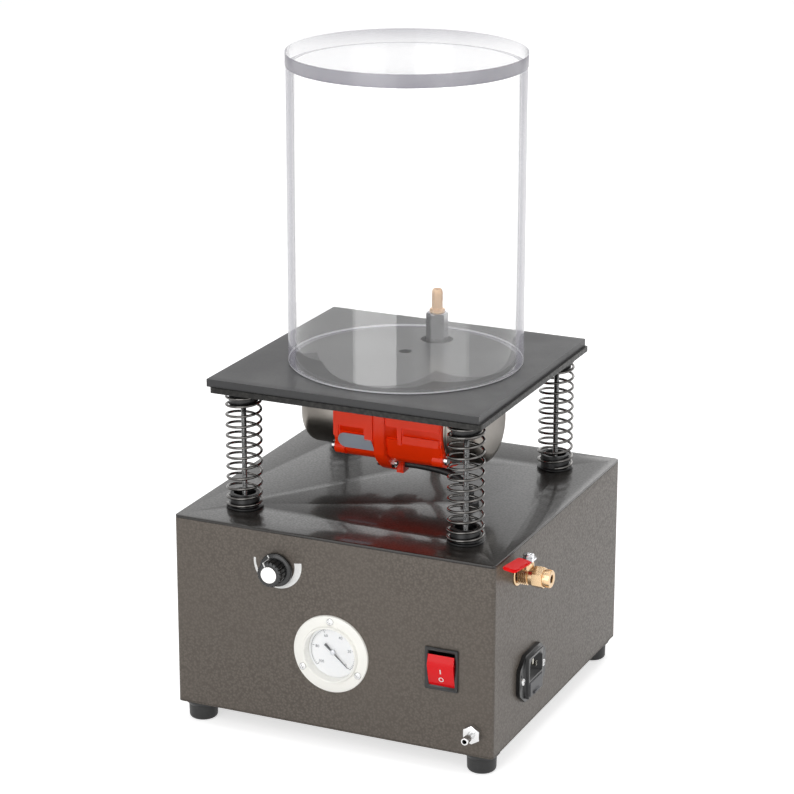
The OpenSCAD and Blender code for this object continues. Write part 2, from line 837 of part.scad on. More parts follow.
// Hose nipple in the front panel

module hose_nipple() {
    color("#d9dadb") at_front(nipple_x, nipple_z) {
        difference() {
            union() {
                hexagon(12, 5);
                translate([0, 0, 5]) cylinder(d = nipple_d, h = nipple_l);
                translate([0, 0, -13]) cylinder(r = 3, h = 13.5);
                translate([0, 0, -21]) cylinder(d = nipple_d, h = 9);
            }
            translate([0, 0, -22]) cylinder(r = 1.65, h = nipple_l + 40);
        }
        translate([0, 0, -sheet_t - 4]) difference() {
            hexagon(10, 4);
            translate([0, 0, -cut]) cylinder(r = 3, h = 5);
        }
    }
}

// Release valve: its ball turns with the lever, a quarter turn from shut to open

elbow_z = 12;
module valve_body() {
    color("#b5883c") at_right(valve_y, valve_z) {
        difference() {
            union() {
                cylinder(r = 8.7, h = 1.5);
                cylinder(r = 6.9, h = 13);
                translate([0, 0, 12.5]) hexagon(14, 8.5);
                translate([0, 0, 21]) cylinder(r = 6.4, h = 5);
                translate([0, 0, -19]) cylinder(r = 5, h = 20);
                translate([-6, -6, -20]) cube([12, 12, 9]);
                translate([0, -elbow_z - 6, -14]) rotate([-90, 0, 0]) cylinder(r = 2.75, h = 14);
                translate([0, 0, 8]) rotate([-90, 0, 0]) cylinder(r = 4.2, h = 10);
            }
            translate([0, 0, -14]) cylinder(d = valve_bore, h = 60);
            translate([0, -elbow_z - 7, -14]) rotate([-90, 0, 0]) cylinder(r = 1.6, h = 19);
            translate([0, 0, 8]) sphere(r = ball_r + 0.4);
            translate([0, 0, 8]) rotate([-90, 0, 0]) cylinder(r = 2.1, h = 20);
        }
        translate([0, 0, -sheet_t - 4]) difference() {
            hexagon(14, 4);
            translate([0, 0, -cut]) cylinder(r = 5, h = 5);
        }
    }
}

module valve_stem() {
    color("silver") translate([stem_x, valve_y, valve_z]) {
        difference() {
            union() {
                sphere(r = ball_r);
                cylinder(r = 1.8, h = 16.6);
            }
            rotate([90, 0, 0]) cylinder(r = 2, h = 20, center = true);
        }
        translate([0, 0, 13.7]) difference() {
            hexagon(7, 2.2);
            translate([0, 0, -cut]) cylinder(r = 1.8, h = 4);
        }
    }
}

lever_w = 11.5;
lever_t = 1.2;
lever_corner = 3;
lever_flat = 4.5;
lever_rise = 4;
module valve_lever() {
    color("#e01b22") translate([stem_x, valve_y, lever_z]) difference() {
        intersection() {
            rotate([90, 0, 90]) linear_extrude(lever_w + 4, center = true)
                polygon([[lever_w, 0], [-lever_flat, 0], [-lever_l - 1, lever_rise],
                    [-lever_l - 1, lever_rise + lever_t], [-lever_flat, lever_t], [lever_w, lever_t]]);
            translate([0, 0, -1]) linear_extrude(lever_rise + lever_t + 2) lever_outline();
        }
        translate([0, 0, -cut]) cylinder(r = 1.8, h = 3);
    }
}

module lever_outline() {
    circle(lever_w / 2);
    translate([-lever_w / 2, lever_corner - lever_l]) square([lever_w, lever_l - lever_corner]);
    translate([lever_corner - lever_w / 2, -lever_l]) square([lever_w - 2 * lever_corner, lever_corner + 1]);
    for (s = [-1, 1]) translate([s * (lever_w / 2 - lever_corner), lever_corner - lever_l]) circle(lever_corner);
}

// Power inlet with its fuse drawer

inlet_flange_t = 3;
inlet_proud = 5.5;
inlet_depth = 23;
drawer_depth = 19;
module inlet_body() {
    color("#151515") at_right(inlet_y, inlet_z) difference() {
        union() {
            linear_extrude(inlet_flange_t) polygon([[-14, 18], [14, 18], [24, 10], [25, 7], [25, -7],
                [24, -10], [14, -18], [-14, -18], [-24, -10], [-25, -7], [-25, 7], [-24, 10]]);
            linear_extrude(inlet_proud) square(inlet_block, center = true);
            translate([0, 0, -inlet_depth]) linear_extrude(inlet_depth) square(inlet_block, center = true);
        }
        translate([0, socket_z - inlet_z, -11.5]) linear_extrude(30)
            polygon([[-socket_x, -socket_y], [socket_x, -socket_y], [socket_x, socket_y - socket_slant],
                [socket_x - socket_slant, socket_y], [socket_slant - socket_x, socket_y],
                [-socket_x, socket_y - socket_slant]]);
        translate([0, drawer_z - inlet_z, -drawer_depth]) linear_extrude(40)
            square(drawer + [0.6, 0.6], center = true);
        for (s = [-1, 1]) translate([s * inlet_screw_y, 0, -1]) cylinder(r = 1.6, h = 6);
        for (p = pin_places) translate([p[0] - 1, p[1] - 2 + socket_z - inlet_z, -inlet_depth - 1])
            cube([2, 4, 20]);
    }
}

pin_places = [[-7, -1.5], [7, -1.5], [0, 2.5]];
module inlet_pins() {
    color("silver") at_right(inlet_y, inlet_z) for (p = pin_places)
        translate([p[0] - 1, p[1] - 2 + socket_z - inlet_z, -inlet_depth - 7]) cube([2, 4, inlet_depth + 10]);
}

module fuse_drawer() {
    color("#2c2c30") at_right(inlet_y, drawer_z) difference() {
        union() {
            translate([0, 0, 0.5 - drawer_depth])
                linear_extrude(drawer_depth + inlet_proud) square(drawer, center = true);
            translate([-5, -drawer[1] / 2, inlet_proud]) cube([10, 2, 1.5]);
        }
        translate([0, 0, -9]) rotate([0, 90, 0]) cylinder(r = 2.65, h = 20.4, center = true);
        translate([-10.2, -0.1, -11.65]) cube([20.4, 10, 5.3]);
    }
}

module fuse() {
    color("#cfd6da") at_right(inlet_y, drawer_z) translate([0, 0, -9]) rotate([0, 90, 0])
        cylinder(r = 2.6, h = 20, center = true);
}

// Vacuum pump

module at_pump_feet() {
    for (x = [-25, 35], y = [-26, 26]) translate([x, pump_y + y, 0]) children();
}

module pump_motor() {
    color("#8b8d90") {
        translate([0, pump_y, pump_z]) difference() {
            along_x(pump_x0) cylinder(r = pump_r, h = pump_x1 - pump_x0);
            along_x(pump_x0 - cut) cylinder(r = pump_shaft_r + 0.1, h = pump_x1 - pump_x0 + 2 * cut);
            along_x(pump_x1 - 6) ring(pump_r - 5, 14, 7);
        }
        difference() {
            translate([pump_x0, pump_y - 32, pump_foot_z]) cube([pump_x1 - pump_x0, 64, pump_base_t]);
            at_pump_feet() cylinder(r = 2.2, h = 30);
        }
        difference() {
            for (x = [pump_x0 + 18, pump_x1 - 26])
                translate([x, pump_y - 18, pump_foot_z + pump_base_t]) cube([6, 36, 12]);
            translate([0, pump_y, pump_z]) along_x(pump_x0) cylinder(r = pump_r, h = pump_x1 - pump_x0);
        }
        difference() {
            translate([-16, pump_y - pump_r - 4, 44]) cube([22, 12, 20]);
            translate([0, pump_y, pump_z]) along_x(pump_x0) cylinder(r = pump_r, h = pump_x1 - pump_x0);
        }
    }
}

head_x0 = -76;
head_w = 40;
module pump_head() {
    color("#a7a9ac") {
        difference() {
            union() {
                translate([0, pump_y, pump_z]) along_x(head_x0) cylinder(r = 30, h = pump_x0 - head_x0);
                translate([head_x0 + 2, pump_y - 20, pump_z]) cube([head_w - 4, 40, 52]);
                for (i = [0 : 4]) translate([head_x0, pump_y - 25, pump_z + 33 + 4 * i]) cube([head_w, 50, 2]);
                translate([head_x0, pump_y - 25, pump_z + 52]) cube([head_w, 50, 12]);
                for (x = [head_x0 + 10, head_x0 + 30]) translate([x, pump_y - 35, pump_z + 58])
                    rotate([-90, 0, 0]) cylinder(r = 2.75, h = 12);
            }
            translate([0, pump_y, pump_z]) along_x(head_x0 + 5) cylinder(r = 25, h = pump_x0 - head_x0 - 8);
            translate([0, pump_y, pump_z]) along_x(head_x0 + 20) cylinder(r = pump_shaft_r + 0.1, h = 60);
        }
    }
}

module pump_feet() {
    color("#202020") at_pump_feet() translate([0, 0, sheet_t]) ring(7, 2.2, pump_foot_z - sheet_t);
}

fan_x = pump_x1 + 2;
fan_r = 29;
module pump_fan() {
    color("#3a3a3c") translate([0, pump_y, pump_z]) {
        along_x(head_x0 + 12) cylinder(r = pump_shaft_r, h = fan_x - head_x0);
        along_x(fan_x) cylinder(r = 9, h = 8);
        for (i = [0 : 5]) rotate([60 * i, 0, 0]) translate([fan_x + 1, -1, 6]) cube([6, 2, fan_r - 6]);
    }
}

// Speed control board on its pillars

board = [72, 56];
board_x = -66;
board_y = -62;
board_z = sheet_t + 8;
module control_board() {
    translate([board_x, board_y, 0]) {
        color("#2f6b3c") translate([0, 0, board_z]) linear_extrude(1.6) difference() {
            square(board, center = true);
            for (c = corners) translate([c[0] * (board[0] / 2 - 4), c[1] * (board[1] / 2 - 4)]) circle(1.6);
        }
        color("silver") for (c = corners)
            translate([c[0] * (board[0] / 2 - 4), c[1] * (board[1] / 2 - 4), sheet_t]) {
                cylinder(r = 3, h = board_z - sheet_t);
                translate([0, 0, board_z - sheet_t]) cylinder(r = 1.5, h = 3);
            }
        color("#8a8f94") translate([-28, 2, board_z + 1.6]) {
            cube([34, 3, 26]);
            for (i = [0 : 4]) translate([i * 8, 3, 0]) cube([2, 10, 26]);
        }
        color("#1c1c1e") translate([-14, -2.6, board_z + 1.6]) cube([10, 4.5, 16]);
        color("#2b2f8a") translate([18, 12, board_z + 1.6]) cylinder(r = 6, h = 18);
        color("#2f7f46") translate([8, -24, board_z + 1.6]) cube([24, 9, 10]);
        color("#2f7f46") translate([-32, -24, board_z + 1.6]) cube([16, 9, 10]);
    }
}

// Manifold that joins the hoses

barb_front_x = [38, 56, 74];
barb_back_x = [38, 56];
module barb_stub() {
    cylinder(r = 2.75, h = barb_l + 1);
}

module manifold() {
    color("#b5883c") {
        difference() {
            union() {
                translate([block_x, block_y, block_z]) cube(block, center = true);
                for (x = barb_front_x) translate([x, block_y - block[1] / 2 - barb_l, block_z])
                    rotate([-90, 0, 0]) barb_stub();
                for (x = barb_back_x) translate([x, block_y + block[1] / 2 + barb_l, block_z])
                    rotate([90, 0, 0]) barb_stub();
            }
            translate([block_x - 25, block_y, block_z]) rotate([0, 90, 0]) cylinder(r = 3, h = 50);
            for (x = barb_front_x) translate([x, block_y - 30, block_z])
                rotate([-90, 0, 0]) cylinder(r = 1.6, h = 30);
            for (x = barb_back_x) translate([x, block_y, block_z])
                rotate([-90, 0, 0]) cylinder(r = 1.6, h = 30);
        }
        for (s = [-1, 1]) translate([block_x + s * 24 - 3, block_y - 6, sheet_t])
            cube([6, 12, block_z - block[2] / 2 - sheet_t]);
    }
}

// Flexible lines; each follows its own points

back_tip = block_y + block[1] / 2 + barb_l;
front_tip = block_y - block[1] / 2 - barb_l;
grommet_top = case_h + grommet_t;
jar_route = [[port_x, port_y, grommet_top], [port_x, port_y, 130], [10, 48, 114], [32, 26, 98],
    [52, 10, 78], [59, 6, 58], [58, 4, 44], [56, -2, block_z], [56, back_tip, block_z]];
pump_route = [[head_x0 + 30, pump_y - 35, pump_z + 58], [head_x0 + 30, 5, pump_z + 58], [-40, -8, 106],
    [-22, -14, 80], [5, -8, 56], [28, 2, 43], [38, 0, block_z], [38, back_tip, block_z]];
gauge_route = [[gauge_x, front + 39, gauge_z], [gauge_x, -78, gauge_z], [6, -69, 57], [20, -64, 50],
    [32, -61, 43], [38, -58, block_z], [38, front_tip, block_z]];
valve_route = [[right - 14, valve_y, valve_z - elbow_z - 6], [right - 14, valve_y, 98], [107, -84, 82],
    [95, -81, 60], [83, -72, 46], [76, -62, 41], [74, -56, block_z], [74, front_tip, block_z]];
nipple_route = [[nipple_x, front + 21, nipple_z], [nipple_x, -96, nipple_z], [104, -86, 17],
    [88, -76, 17], [70, -70, 22], [59, -66, 33], [56, -58, block_z], [56, front_tip, block_z]];
module hoses() {
    color("#d8d6cf") {
        sweep(smooth(jar_route, 2), hose_r, 8, [1, 0, 0]);
        sweep(smooth(pump_route, 2), hose_r, 8, [1, 0, 0]);
        sweep(smooth(gauge_route, 2), hose_r, 8, [0, 0, 1]);
        sweep(smooth(valve_route, 2), hose_r, 8, [1, 0, 0]);
        sweep(smooth(nipple_route, 2), hose_r, 8, [0, 0, 1]);
    }
}

hose_sway = 5;
hose_middle = (grommet_top + hose_top_z) / 2;
hose_route = [[port_x, port_y, grommet_top], [port_x, port_y, grommet_top + 10],
    [port_x + hose_sway, port_y, hose_middle], [port_x, port_y, hose_top_z - 10], [port_x, port_y, hose_top_z]];
module vacuum_hose() {
    color("#c9c7c0") sweep(smooth(hose_route, 2), hose_r, 8, [1, 0, 0]);
}

cable_z = motor_z - 36;
cable_route = [[gland_x, -8, cable_z], [16, -8, cable_z], [30, -8.5, cable_z - 0.6], [42, -9.5, cable_z - 2.2],
    [52, -12, cable_z - 5], [cable_x, cable_y, grommet_top + 8],
    [cable_x, cable_y, grommet_top]];
module motor_cable() {
    color("#161616") sweep(smooth(cable_route, 2), cable_r, 8, [0, 0, 1]);
}

terminal_y = board_y - 19.5;
terminal_z = board_z + 11.6;
motor_wire = [[cable_x, cable_y, grommet_top], [cable_x, cable_y, 132], [50, -22, 112], [22, -38, 88],
    [-8, -56, 66], [-30, -72, 50], [board_x + 26, terminal_y, 38], [board_x + 26, terminal_y, terminal_z]];
inlet_wire = [[right - 30, inlet_y + 7, inlet_z + 4.5], [88, inlet_y + 7, inlet_z + 4.5], [84, -56, 54], [81, -70, 59],
    [81, -84, 62], [81, front + 30, 62]];
switch_wire = [[91, front + 30, 55.5], [91, -88, 55.5], [80, -84, 40], [40, -92, 14], [0, -97, 10],
    [-30, -98, 18], [-48, -93, 32], [board_x + 12, terminal_y, 34], [board_x + 12, terminal_y, terminal_z]];
pot_wire = [[knob_x, -117, knob_z - 13.5], [knob_x, -117, knob_z - 22], [-48, -113, 82], [-72, -102, 60],
    [-90, -90, 44], [board_x - 28, terminal_y, 34], [board_x - 28, terminal_y, terminal_z]];
pump_wire = [[board_x - 20, terminal_y, terminal_z], [board_x - 20, terminal_y, 32], [-84, -70, 44],
    [-70, -40, 52], [-40, -12, 54], [-14, -4, 54], [-5, 4, 54], [-5, pump_y - pump_r - 4, 54]];
module wiring() {
    color("#2a2a2c") {
        sweep(smooth(motor_wire, 2), cable_r, 8, [1, 0, 0]);
        sweep(smooth(inlet_wire, 2), wire_r, 8, [0, 0, 1]);
        sweep(smooth(switch_wire, 2), wire_r, 8, [0, 0, 1]);
        sweep(smooth(pot_wire, 2), wire_r, 8, [1, 0, 0]);
        sweep(smooth(pump_wire, 2), wire_r, 8, [1, 0, 0]);
    }
}

module grommet(r) {
    difference() {
        union() {
            translate([0, 0, -grommet_t]) cylinder(r = r + grommet_t + 2, h = grommet_t);
            cylinder(r = r + grommet_t, h = cover_t);
            translate([0, 0, cover_t]) cylinder(r = r + grommet_t + 2, h = grommet_t);
        }
        translate([0, 0, -5]) cylinder(r = r + 0.3, h = 20);
    }
}

module grommets() {
    color("#1c1c1c") translate([0, 0, cover_z]) {
        translate([port_x, port_y, 0]) grommet(hose_r);
        translate([cable_x, cable_y, 0]) grommet(cable_r);
    }
}

case_shell();
top_cover();
bottom_plate();
rubber_feet();
base_screws();
lower_cups();
gauge_case();
gauge_dial();
gauge_lens();
gauge_movement();
panel_screws();
potentiometer();
switch_frame();
hose_nipple();
valve_body();
inlet_body();
inlet_pins();
pump_motor();
pump_head();
pump_feet();
control_board();
manifold();
hoses();
wiring();
grommets();
table_plate();
rubber_mat();
upper_cups();
guide_rods();
rod_nuts();
port_coupling();
port_filter();
port_tail();
motor_housing_left();
motor_housing_right();
motor_cover_left();
motor_cover_right();
motor_stator();
motor_bearings();
motor_bolts();
spring_front_left();
spring_front_right();
spring_back_left();
spring_back_right();
vacuum_hose();
motor_cable();
motor_rotor();
eccentric_weights();
jar_tube();
jar_lid();
knob();
knob_cap();
pot_shaft();
switch_rocker();
valve_lever();
valve_stem();
gauge_needle();
fuse_drawer();
fuse();
pump_fan();
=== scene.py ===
"""Looks of the bench vacuum casting machine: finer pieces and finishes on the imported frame."""

import json
import math

import bmesh
import bpy
from bpy.props import FloatProperty, FloatVectorProperty, IntProperty, PointerProperty
from mathutils import Matrix, Vector

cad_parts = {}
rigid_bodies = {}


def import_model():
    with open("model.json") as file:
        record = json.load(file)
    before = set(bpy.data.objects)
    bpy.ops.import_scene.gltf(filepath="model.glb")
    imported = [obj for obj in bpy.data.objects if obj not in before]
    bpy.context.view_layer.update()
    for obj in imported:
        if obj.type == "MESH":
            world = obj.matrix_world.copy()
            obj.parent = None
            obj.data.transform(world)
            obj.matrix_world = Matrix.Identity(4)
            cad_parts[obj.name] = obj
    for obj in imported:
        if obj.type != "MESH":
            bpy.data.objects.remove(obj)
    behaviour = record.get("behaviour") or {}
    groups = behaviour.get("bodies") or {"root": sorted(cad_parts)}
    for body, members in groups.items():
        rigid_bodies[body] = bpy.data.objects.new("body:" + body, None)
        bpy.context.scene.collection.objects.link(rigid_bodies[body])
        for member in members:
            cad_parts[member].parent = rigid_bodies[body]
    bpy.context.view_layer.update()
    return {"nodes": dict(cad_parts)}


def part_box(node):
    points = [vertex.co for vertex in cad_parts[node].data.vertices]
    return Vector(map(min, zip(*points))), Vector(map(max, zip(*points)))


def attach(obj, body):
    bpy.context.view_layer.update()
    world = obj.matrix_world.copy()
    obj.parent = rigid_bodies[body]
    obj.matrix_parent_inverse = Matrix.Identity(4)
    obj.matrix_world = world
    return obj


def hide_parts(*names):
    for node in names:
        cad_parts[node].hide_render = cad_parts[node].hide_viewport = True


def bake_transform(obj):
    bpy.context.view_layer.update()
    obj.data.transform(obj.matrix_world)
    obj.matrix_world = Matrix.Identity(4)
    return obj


bl_info = {
    "name": "Vacuum casting machine",
    "version": (1, 0, 0),
    "blender": (4, 5, 0),
    "location": "3D View > Sidebar > Casting",
    "description": "Builds the finer pieces and finishes of a bench vacuum casting machine",
    "category": "Object",
}

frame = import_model()
MM = 0.001


# Pieces are drawn in millimetres and brought to metres as each mesh is closed


def low(node):
    return Vector(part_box(node)[0]) / MM


def high(node):
    return Vector(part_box(node)[1]) / MM


FRONT = low("case_shell").y
RIGHT = high("case_shell").x
COVER = high("top_cover").z
TABLE = low("table_plate").z
MAT = low("rubber_mat").z
JAR = low("jar_tube").z
FLOOR = low("rubber_feet").z

# Middles in X and Y, seen from above
REACH = 87
SPRINGS = [(sx * REACH, sy * REACH) for sx in (-1, 1) for sy in (-1, 1)]
PORT = (2.6, 55.8)
MAT_HOLE = (-6, 17)
CABLE = (60, -15)

# Middles on the front in X and Z, and on the right side in Y and Z
KNOB = (-42.3, 117)
KNOB_ARC = (-42, 121.3)
GAUGE = (0, 59)
SWITCH_Z = 62.5
NIPPLE = (110.5, 18.3)
VALVE = (-82.8, 125.5)
INLET = (-57.3, 41)

SPRING_R = 13.5
CUP_RIM = 1.5
COVER_T = 2
HOSE_R = 4


def linear(red, green, blue):
    """A written screen colour, 0 to 255, as the light that it stands for."""
    return tuple((c / 255 / 12.92) if c <= 10 else ((c / 255 + 0.055) / 1.055) ** 2.4 for c in (red, green, blue))


def facing(origin, out, up=(0, 0, 1)):
    """Local +Z points out of the machine and local +Y up, at origin."""
    z = Vector(out).normalized()
    y = Vector(up)
    y = (y - z * y.dot(z)).normalized()
    m = Matrix((y.cross(z), y, z)).transposed().to_4x4()
    m.translation = Vector(origin)
    return m


def on_front(x, z):
    return facing((x, FRONT, z), (0, -1, 0))


def on_right(y, z):
    return facing((RIGHT, y, z), (1, 0, 0))


def standing(x, y, z):
    return Matrix.Translation((x, y, z))


def lying(x, y, z):
    """Local +Z runs along +X, local +Y points up."""
    return facing((x, y, z), (1, 0, 0))


# ---- Shader expressions -------------------------------------------------------------------


class Num:
    """A number that flows through a node tree; sums and products add Math nodes."""

    def __init__(self, tree, socket):
        self.tree = tree
        self.socket = socket

    def math(self, operation, *others, swap=False):
        node = self.tree.nodes.new("ShaderNodeMath")
        node.operation = operation
        values = [self, *others]
        if swap:
            values.reverse()
        for socket, value in zip(node.inputs, values):
            if isinstance(value, Num):
                self.tree.links.new(value.socket, socket)
            else:
                socket.default_value = value
        return Num(self.tree, node.outputs[0])

    def __add__(self, other):
        return self.math("ADD", other)

    __radd__ = __add__

    def __mul__(self, other):
        return self.math("MULTIPLY", other)

    __rmul__ = __mul__

    def __sub__(self, other):
        return self.math("SUBTRACT", other)

    def __rsub__(self, other):
        return self.math("SUBTRACT", other, swap=True)

    def __truediv__(self, other):
        return self.math("DIVIDE", other)

    def least(self, other):
        return self.math("MINIMUM", other)

    def most(self, other):
        return self.math("MAXIMUM", other)


class Nodes:
    """A node tree to which every node is added in one way."""

    def __init__(self, tree):
        self.tree = tree
        tree.nodes.clear()

    def add(self, kind, settings=None, **values):
        """A node with its settings; a value, a number or a socket goes to the input of that name."""
        node = self.tree.nodes.new(kind)
        for key, value in (settings or {}).items():
            setattr(node, key, value)
        for key, value in values.items():
            self.put(node.inputs[key.replace("_", " ")], value)
        return node

    def put(self, socket, value):
        if isinstance(value, Num):
            value = value.socket
        if isinstance(value, bpy.types.NodeSocket):
            self.tree.links.new(value, socket)
        else:
            socket.default_value = value

    def join(self, kind, first, second, **values):
        """A shader node that takes two shaders as its last inputs."""
        node = self.add(kind, **values)
        self.put(node.inputs[-2], first.outputs[0])
        self.put(node.inputs[-1], second.outputs[0])
        return node


class Finish(Nodes):
    """A material whose nodes are written as expressions on the piece's own coordinates."""

    def __init__(self, name):
        self.material = bpy.data.materials.new(name)
        self.material.use_nodes = True
        super().__init__(self.material.node_tree)
        self.shader = self.add("ShaderNodeBsdfPrincipled")
        self.out = self.add("ShaderNodeOutputMaterial", Surface=self.shader.outputs[0])
        self.place = self.add("ShaderNodeTexCoord").outputs["Object"]

    def stretch(self, x, y, z):
        return self.add("ShaderNodeMapping", Vector=self.place, Scale=(x, y, z)).outputs[0]

    def noise(self, scale, detail, rough=0.5, where=None):
        node = self.add("ShaderNodeTexNoise", Vector=where or self.place, Scale=scale, Detail=detail, Roughness=rough)
        return Num(self.tree, node.outputs["Fac"])

    def cells(self, scale):
        node = self.add("ShaderNodeTexVoronoi", Vector=self.place, Scale=scale)
        return Num(self.tree, node.outputs["Distance"])

    def share(self, value, start, end):
        """0 below start, 1 above end, and a smooth step between them."""
        node = self.add("ShaderNodeMapRange", {"interpolation_type": "SMOOTHSTEP"}, Value=value)
        self.put(node.inputs["From Min"], start)
        self.put(node.inputs["From Max"], end)
        return Num(self.tree, node.outputs["Result"])

    def blend(self, factor, first, second):
        node = self.add("ShaderNodeMix", {"data_type": "RGBA"})
        self.put(node.inputs[0], factor)
        for socket, color in ((node.inputs[6], first), (node.inputs[7], second)):
            self.put(socket, color if isinstance(color, bpy.types.NodeSocket) else (*color, 1))
        return node.outputs[2]

    def bump(self, height, strength, distance):
        node = self.add("ShaderNodeBump", Height=height, Strength=strength, Distance=distance)
        self.put(self.shader.inputs["Normal"], node.outputs[0])

    def set(self, **values):
        for key, value in values.items():
            if key == "Base_Color" and not isinstance(value, bpy.types.NodeSocket):
                value = (*value, 1)
            self.put(self.shader.inputs[key.replace("_", " ")], value)
        return self


def tinted(color, by):
    return tuple(min(1.0, c * by) for c in color)


def hammertone(name, color, grain=1.0, gloss=0.33, deep=0.55, coat=0.06, haze=0.2, spread=0.22):
    """Fine hammered paint: small domes with darker seams and a broken shine."""
    f = Finish(name)
    cell = f.cells(560 / grain) * 0.7 + f.noise(760 / grain, 2) * 0.5
    cloud = f.noise(11, 2)
    tone = f.blend(f.share(cell, 0.25, 0.85), tinted(color, 1 + spread), tinted(color, 1 - spread))
    f.set(Base_Color=f.blend(f.share(cloud, 0.3, 0.75) * 0.5, tone, color), Metallic=0.06, Specular_IOR_Level=0.22,
          Roughness=f.share(cell, 0.2, 0.9) * 0.14 + gloss, Coat_Weight=coat, Coat_Roughness=haze)
    f.bump(1 - cell, deep, 0.0002)
    return f.material


def rubber(name, color, rough=0.55, dusty=1.6):
    f = Finish(name)
    grain = f.noise(700, 4, 0.6)
    dust = f.noise(38, 4, 0.6)
    f.set(Base_Color=f.blend(f.share(dust, 0.42, 0.78), color, tinted(color, dusty)),
          Roughness=grain * 0.16 + (rough - 0.08), Specular_IOR_Level=0.45)
    f.bump(grain, 0.25, 0.00012)
    return f.material


def plastic(name, color, rough, coat=0.0):
    f = Finish(name)
    grain = f.noise(1500, 2)
    f.set(Base_Color=f.blend(f.noise(60, 2), color, tinted(color, 1.12)),
          Roughness=grain * 0.1 + (rough - 0.05), Coat_Weight=coat, Coat_Roughness=0.06)
    f.bump(grain, 0.1, 0.00006)
    return f.material


def lacquer(name, first, second, cloud, rough, shine, coat, skin, deep):
    """A smooth coloured skin: its tone and gloss drift with a cloud, and a finer noise raises it a little."""
    f = Finish(name)
    drift = f.noise(*cloud)
    f.set(Base_Color=f.blend(drift, first, second), Roughness=drift * rough[0] + rough[1],
          Specular_IOR_Level=shine, Coat_Weight=coat[0], Coat_Roughness=coat[1])
    f.bump(f.noise(*skin), *deep)
    return f.material


def metal(name, color, rough, stretch=(1, 1, 1), scale=420, stain=0.35, deep=0.08, share=1.0):
    """Metal with tool marks that run long where the stretch is small, and slight staining."""
    f = Finish(name)
    marks = f.noise(scale, 3, 0.6, where=f.stretch(*stretch))
    stains = f.noise(75, 3)
    f.set(Base_Color=f.blend(f.share(stains, 0.35, 0.8) * stain, color, tinted(color, 0.62)),
          Metallic=share, Roughness=marks * 0.18 + (rough - 0.09))
    f.bump(marks, deep, 0.00008)
    return f.material


def clear(name, color, haze=0.0, edge=0.85, start=0.62, full=0.98, shine=0.055):
    """Clear acrylic or glass without refraction: outer haze, a mirror's shine, and, where it slants away, its own
    colour showing as painted edge shade in place of the darker rim that refraction gives.
    """
    f = Finish(name)
    outer = 1 - Num(f.tree, f.add("ShaderNodeNewGeometry").outputs["Backfacing"])
    slant = Num(f.tree, f.add("ShaderNodeLayerWeight", Blend=0.5).outputs["Facing"])
    wiped = f.noise(30, 2, where=f.stretch(1, 1, 0.2))
    f.set(Base_Color=f.blend(wiped, color, tinted(color, 1.1)), Roughness=wiped * 0.1 + 0.2)
    empty = f.add("ShaderNodeBsdfTransparent")
    mirror = f.add("ShaderNodeBsdfPrincipled", Base_Color=(1, 1, 1, 1), Metallic=1.0, Roughness=0.03)
    gloss = f.join("ShaderNodeMixShader", empty, mirror, Fac=slant.math("POWER", 5) * 0.3 + shine)
    # Painted edge shade: where the surface slants away its colour shows, standing for the darker rim that refraction
    # gives; outer faces also take the haze
    haze_and_edge_shade = f.join("ShaderNodeMixShader", gloss, f.shader, Fac=f.share(slant, start, full) * edge + outer * haze)
    f.put(f.out.inputs["Surface"], haze_and_edge_shade.outputs[0])
    return f.material


def printed(name, color):
    """Screen-printed ink, a little uneven."""
    f = Finish(name)
    ink = f.noise(520, 3, 0.6)
    f.set(Base_Color=f.blend(f.share(ink, 0.3, 0.7), tinted(color, 0.9), color), Roughness=ink * 0.2 + 0.5)
    return f.material


# ---- Geometry node trees -------------------------------------------------------------------


class Tree(Nodes):
    """A geometry node tree with named inputs, ended in Realize Instances and Set Material."""

    KINDS = {"f": "NodeSocketFloat", "i": "NodeSocketInt", "v": "NodeSocketVector", "m": "NodeSocketMaterial"}

    def __init__(self, name, **inputs):
        super().__init__(bpy.data.node_groups.new(name, "GeometryNodeTree"))
        self.ids = {}
        face = self.tree.interface
        face.new_socket("Geometry", in_out="INPUT", socket_type="NodeSocketGeometry")
        for key, kind in inputs.items():
            socket = face.new_socket(key.replace("_", " "), in_out="INPUT", socket_type=self.KINDS[kind])
            self.ids[key] = socket.identifier
        face.new_socket("Geometry", in_out="OUTPUT", socket_type="NodeSocketGeometry")
        self.start = self.add("NodeGroupInput")

    def input(self, key):
        return Num(self.tree, self.start.outputs[key.replace("_", " ")])

    def close(self, geometry):
        real = self.add("GeometryNodeRealizeInstances", Geometry=geometry)
        painted = self.add("GeometryNodeSetMaterial", Geometry=real.outputs[0], Material=self.input("Material"))
        self.add("NodeGroupOutput", Geometry=painted.outputs[0])
        return self

    def build(self, name, base=None, angle=32, **values):
        """A plain mesh object of the tree at these input values; base is the mesh that it starts from."""
        holder = bpy.data.objects.new(name + "_maker", base or bpy.data.meshes.new(name))
        bpy.context.scene.collection.objects.link(holder)
        modifier = holder.modifiers.new("maker", "NODES")
        modifier.node_group = self.tree
        for key, value in values.items():
            modifier[self.ids[key]] = value
        mesh = evaluated(holder)
        bpy.data.objects.remove(holder)
        if not mesh.vertices:
            raise RuntimeError(f"the tree {self.tree.name} made nothing")
        mesh.transform(Matrix.Scale(MM, 4))
        smooth(mesh, angle)
        piece = bpy.data.objects.new(name, mesh)
        bpy.context.scene.collection.objects.link(piece)
        return piece


def evaluated(holder):
    holder.update_tag()
    bpy.context.view_layer.update()
    made = holder.evaluated_get(bpy.context.evaluated_depsgraph_get())
    return bpy.data.meshes.new_from_object(made)


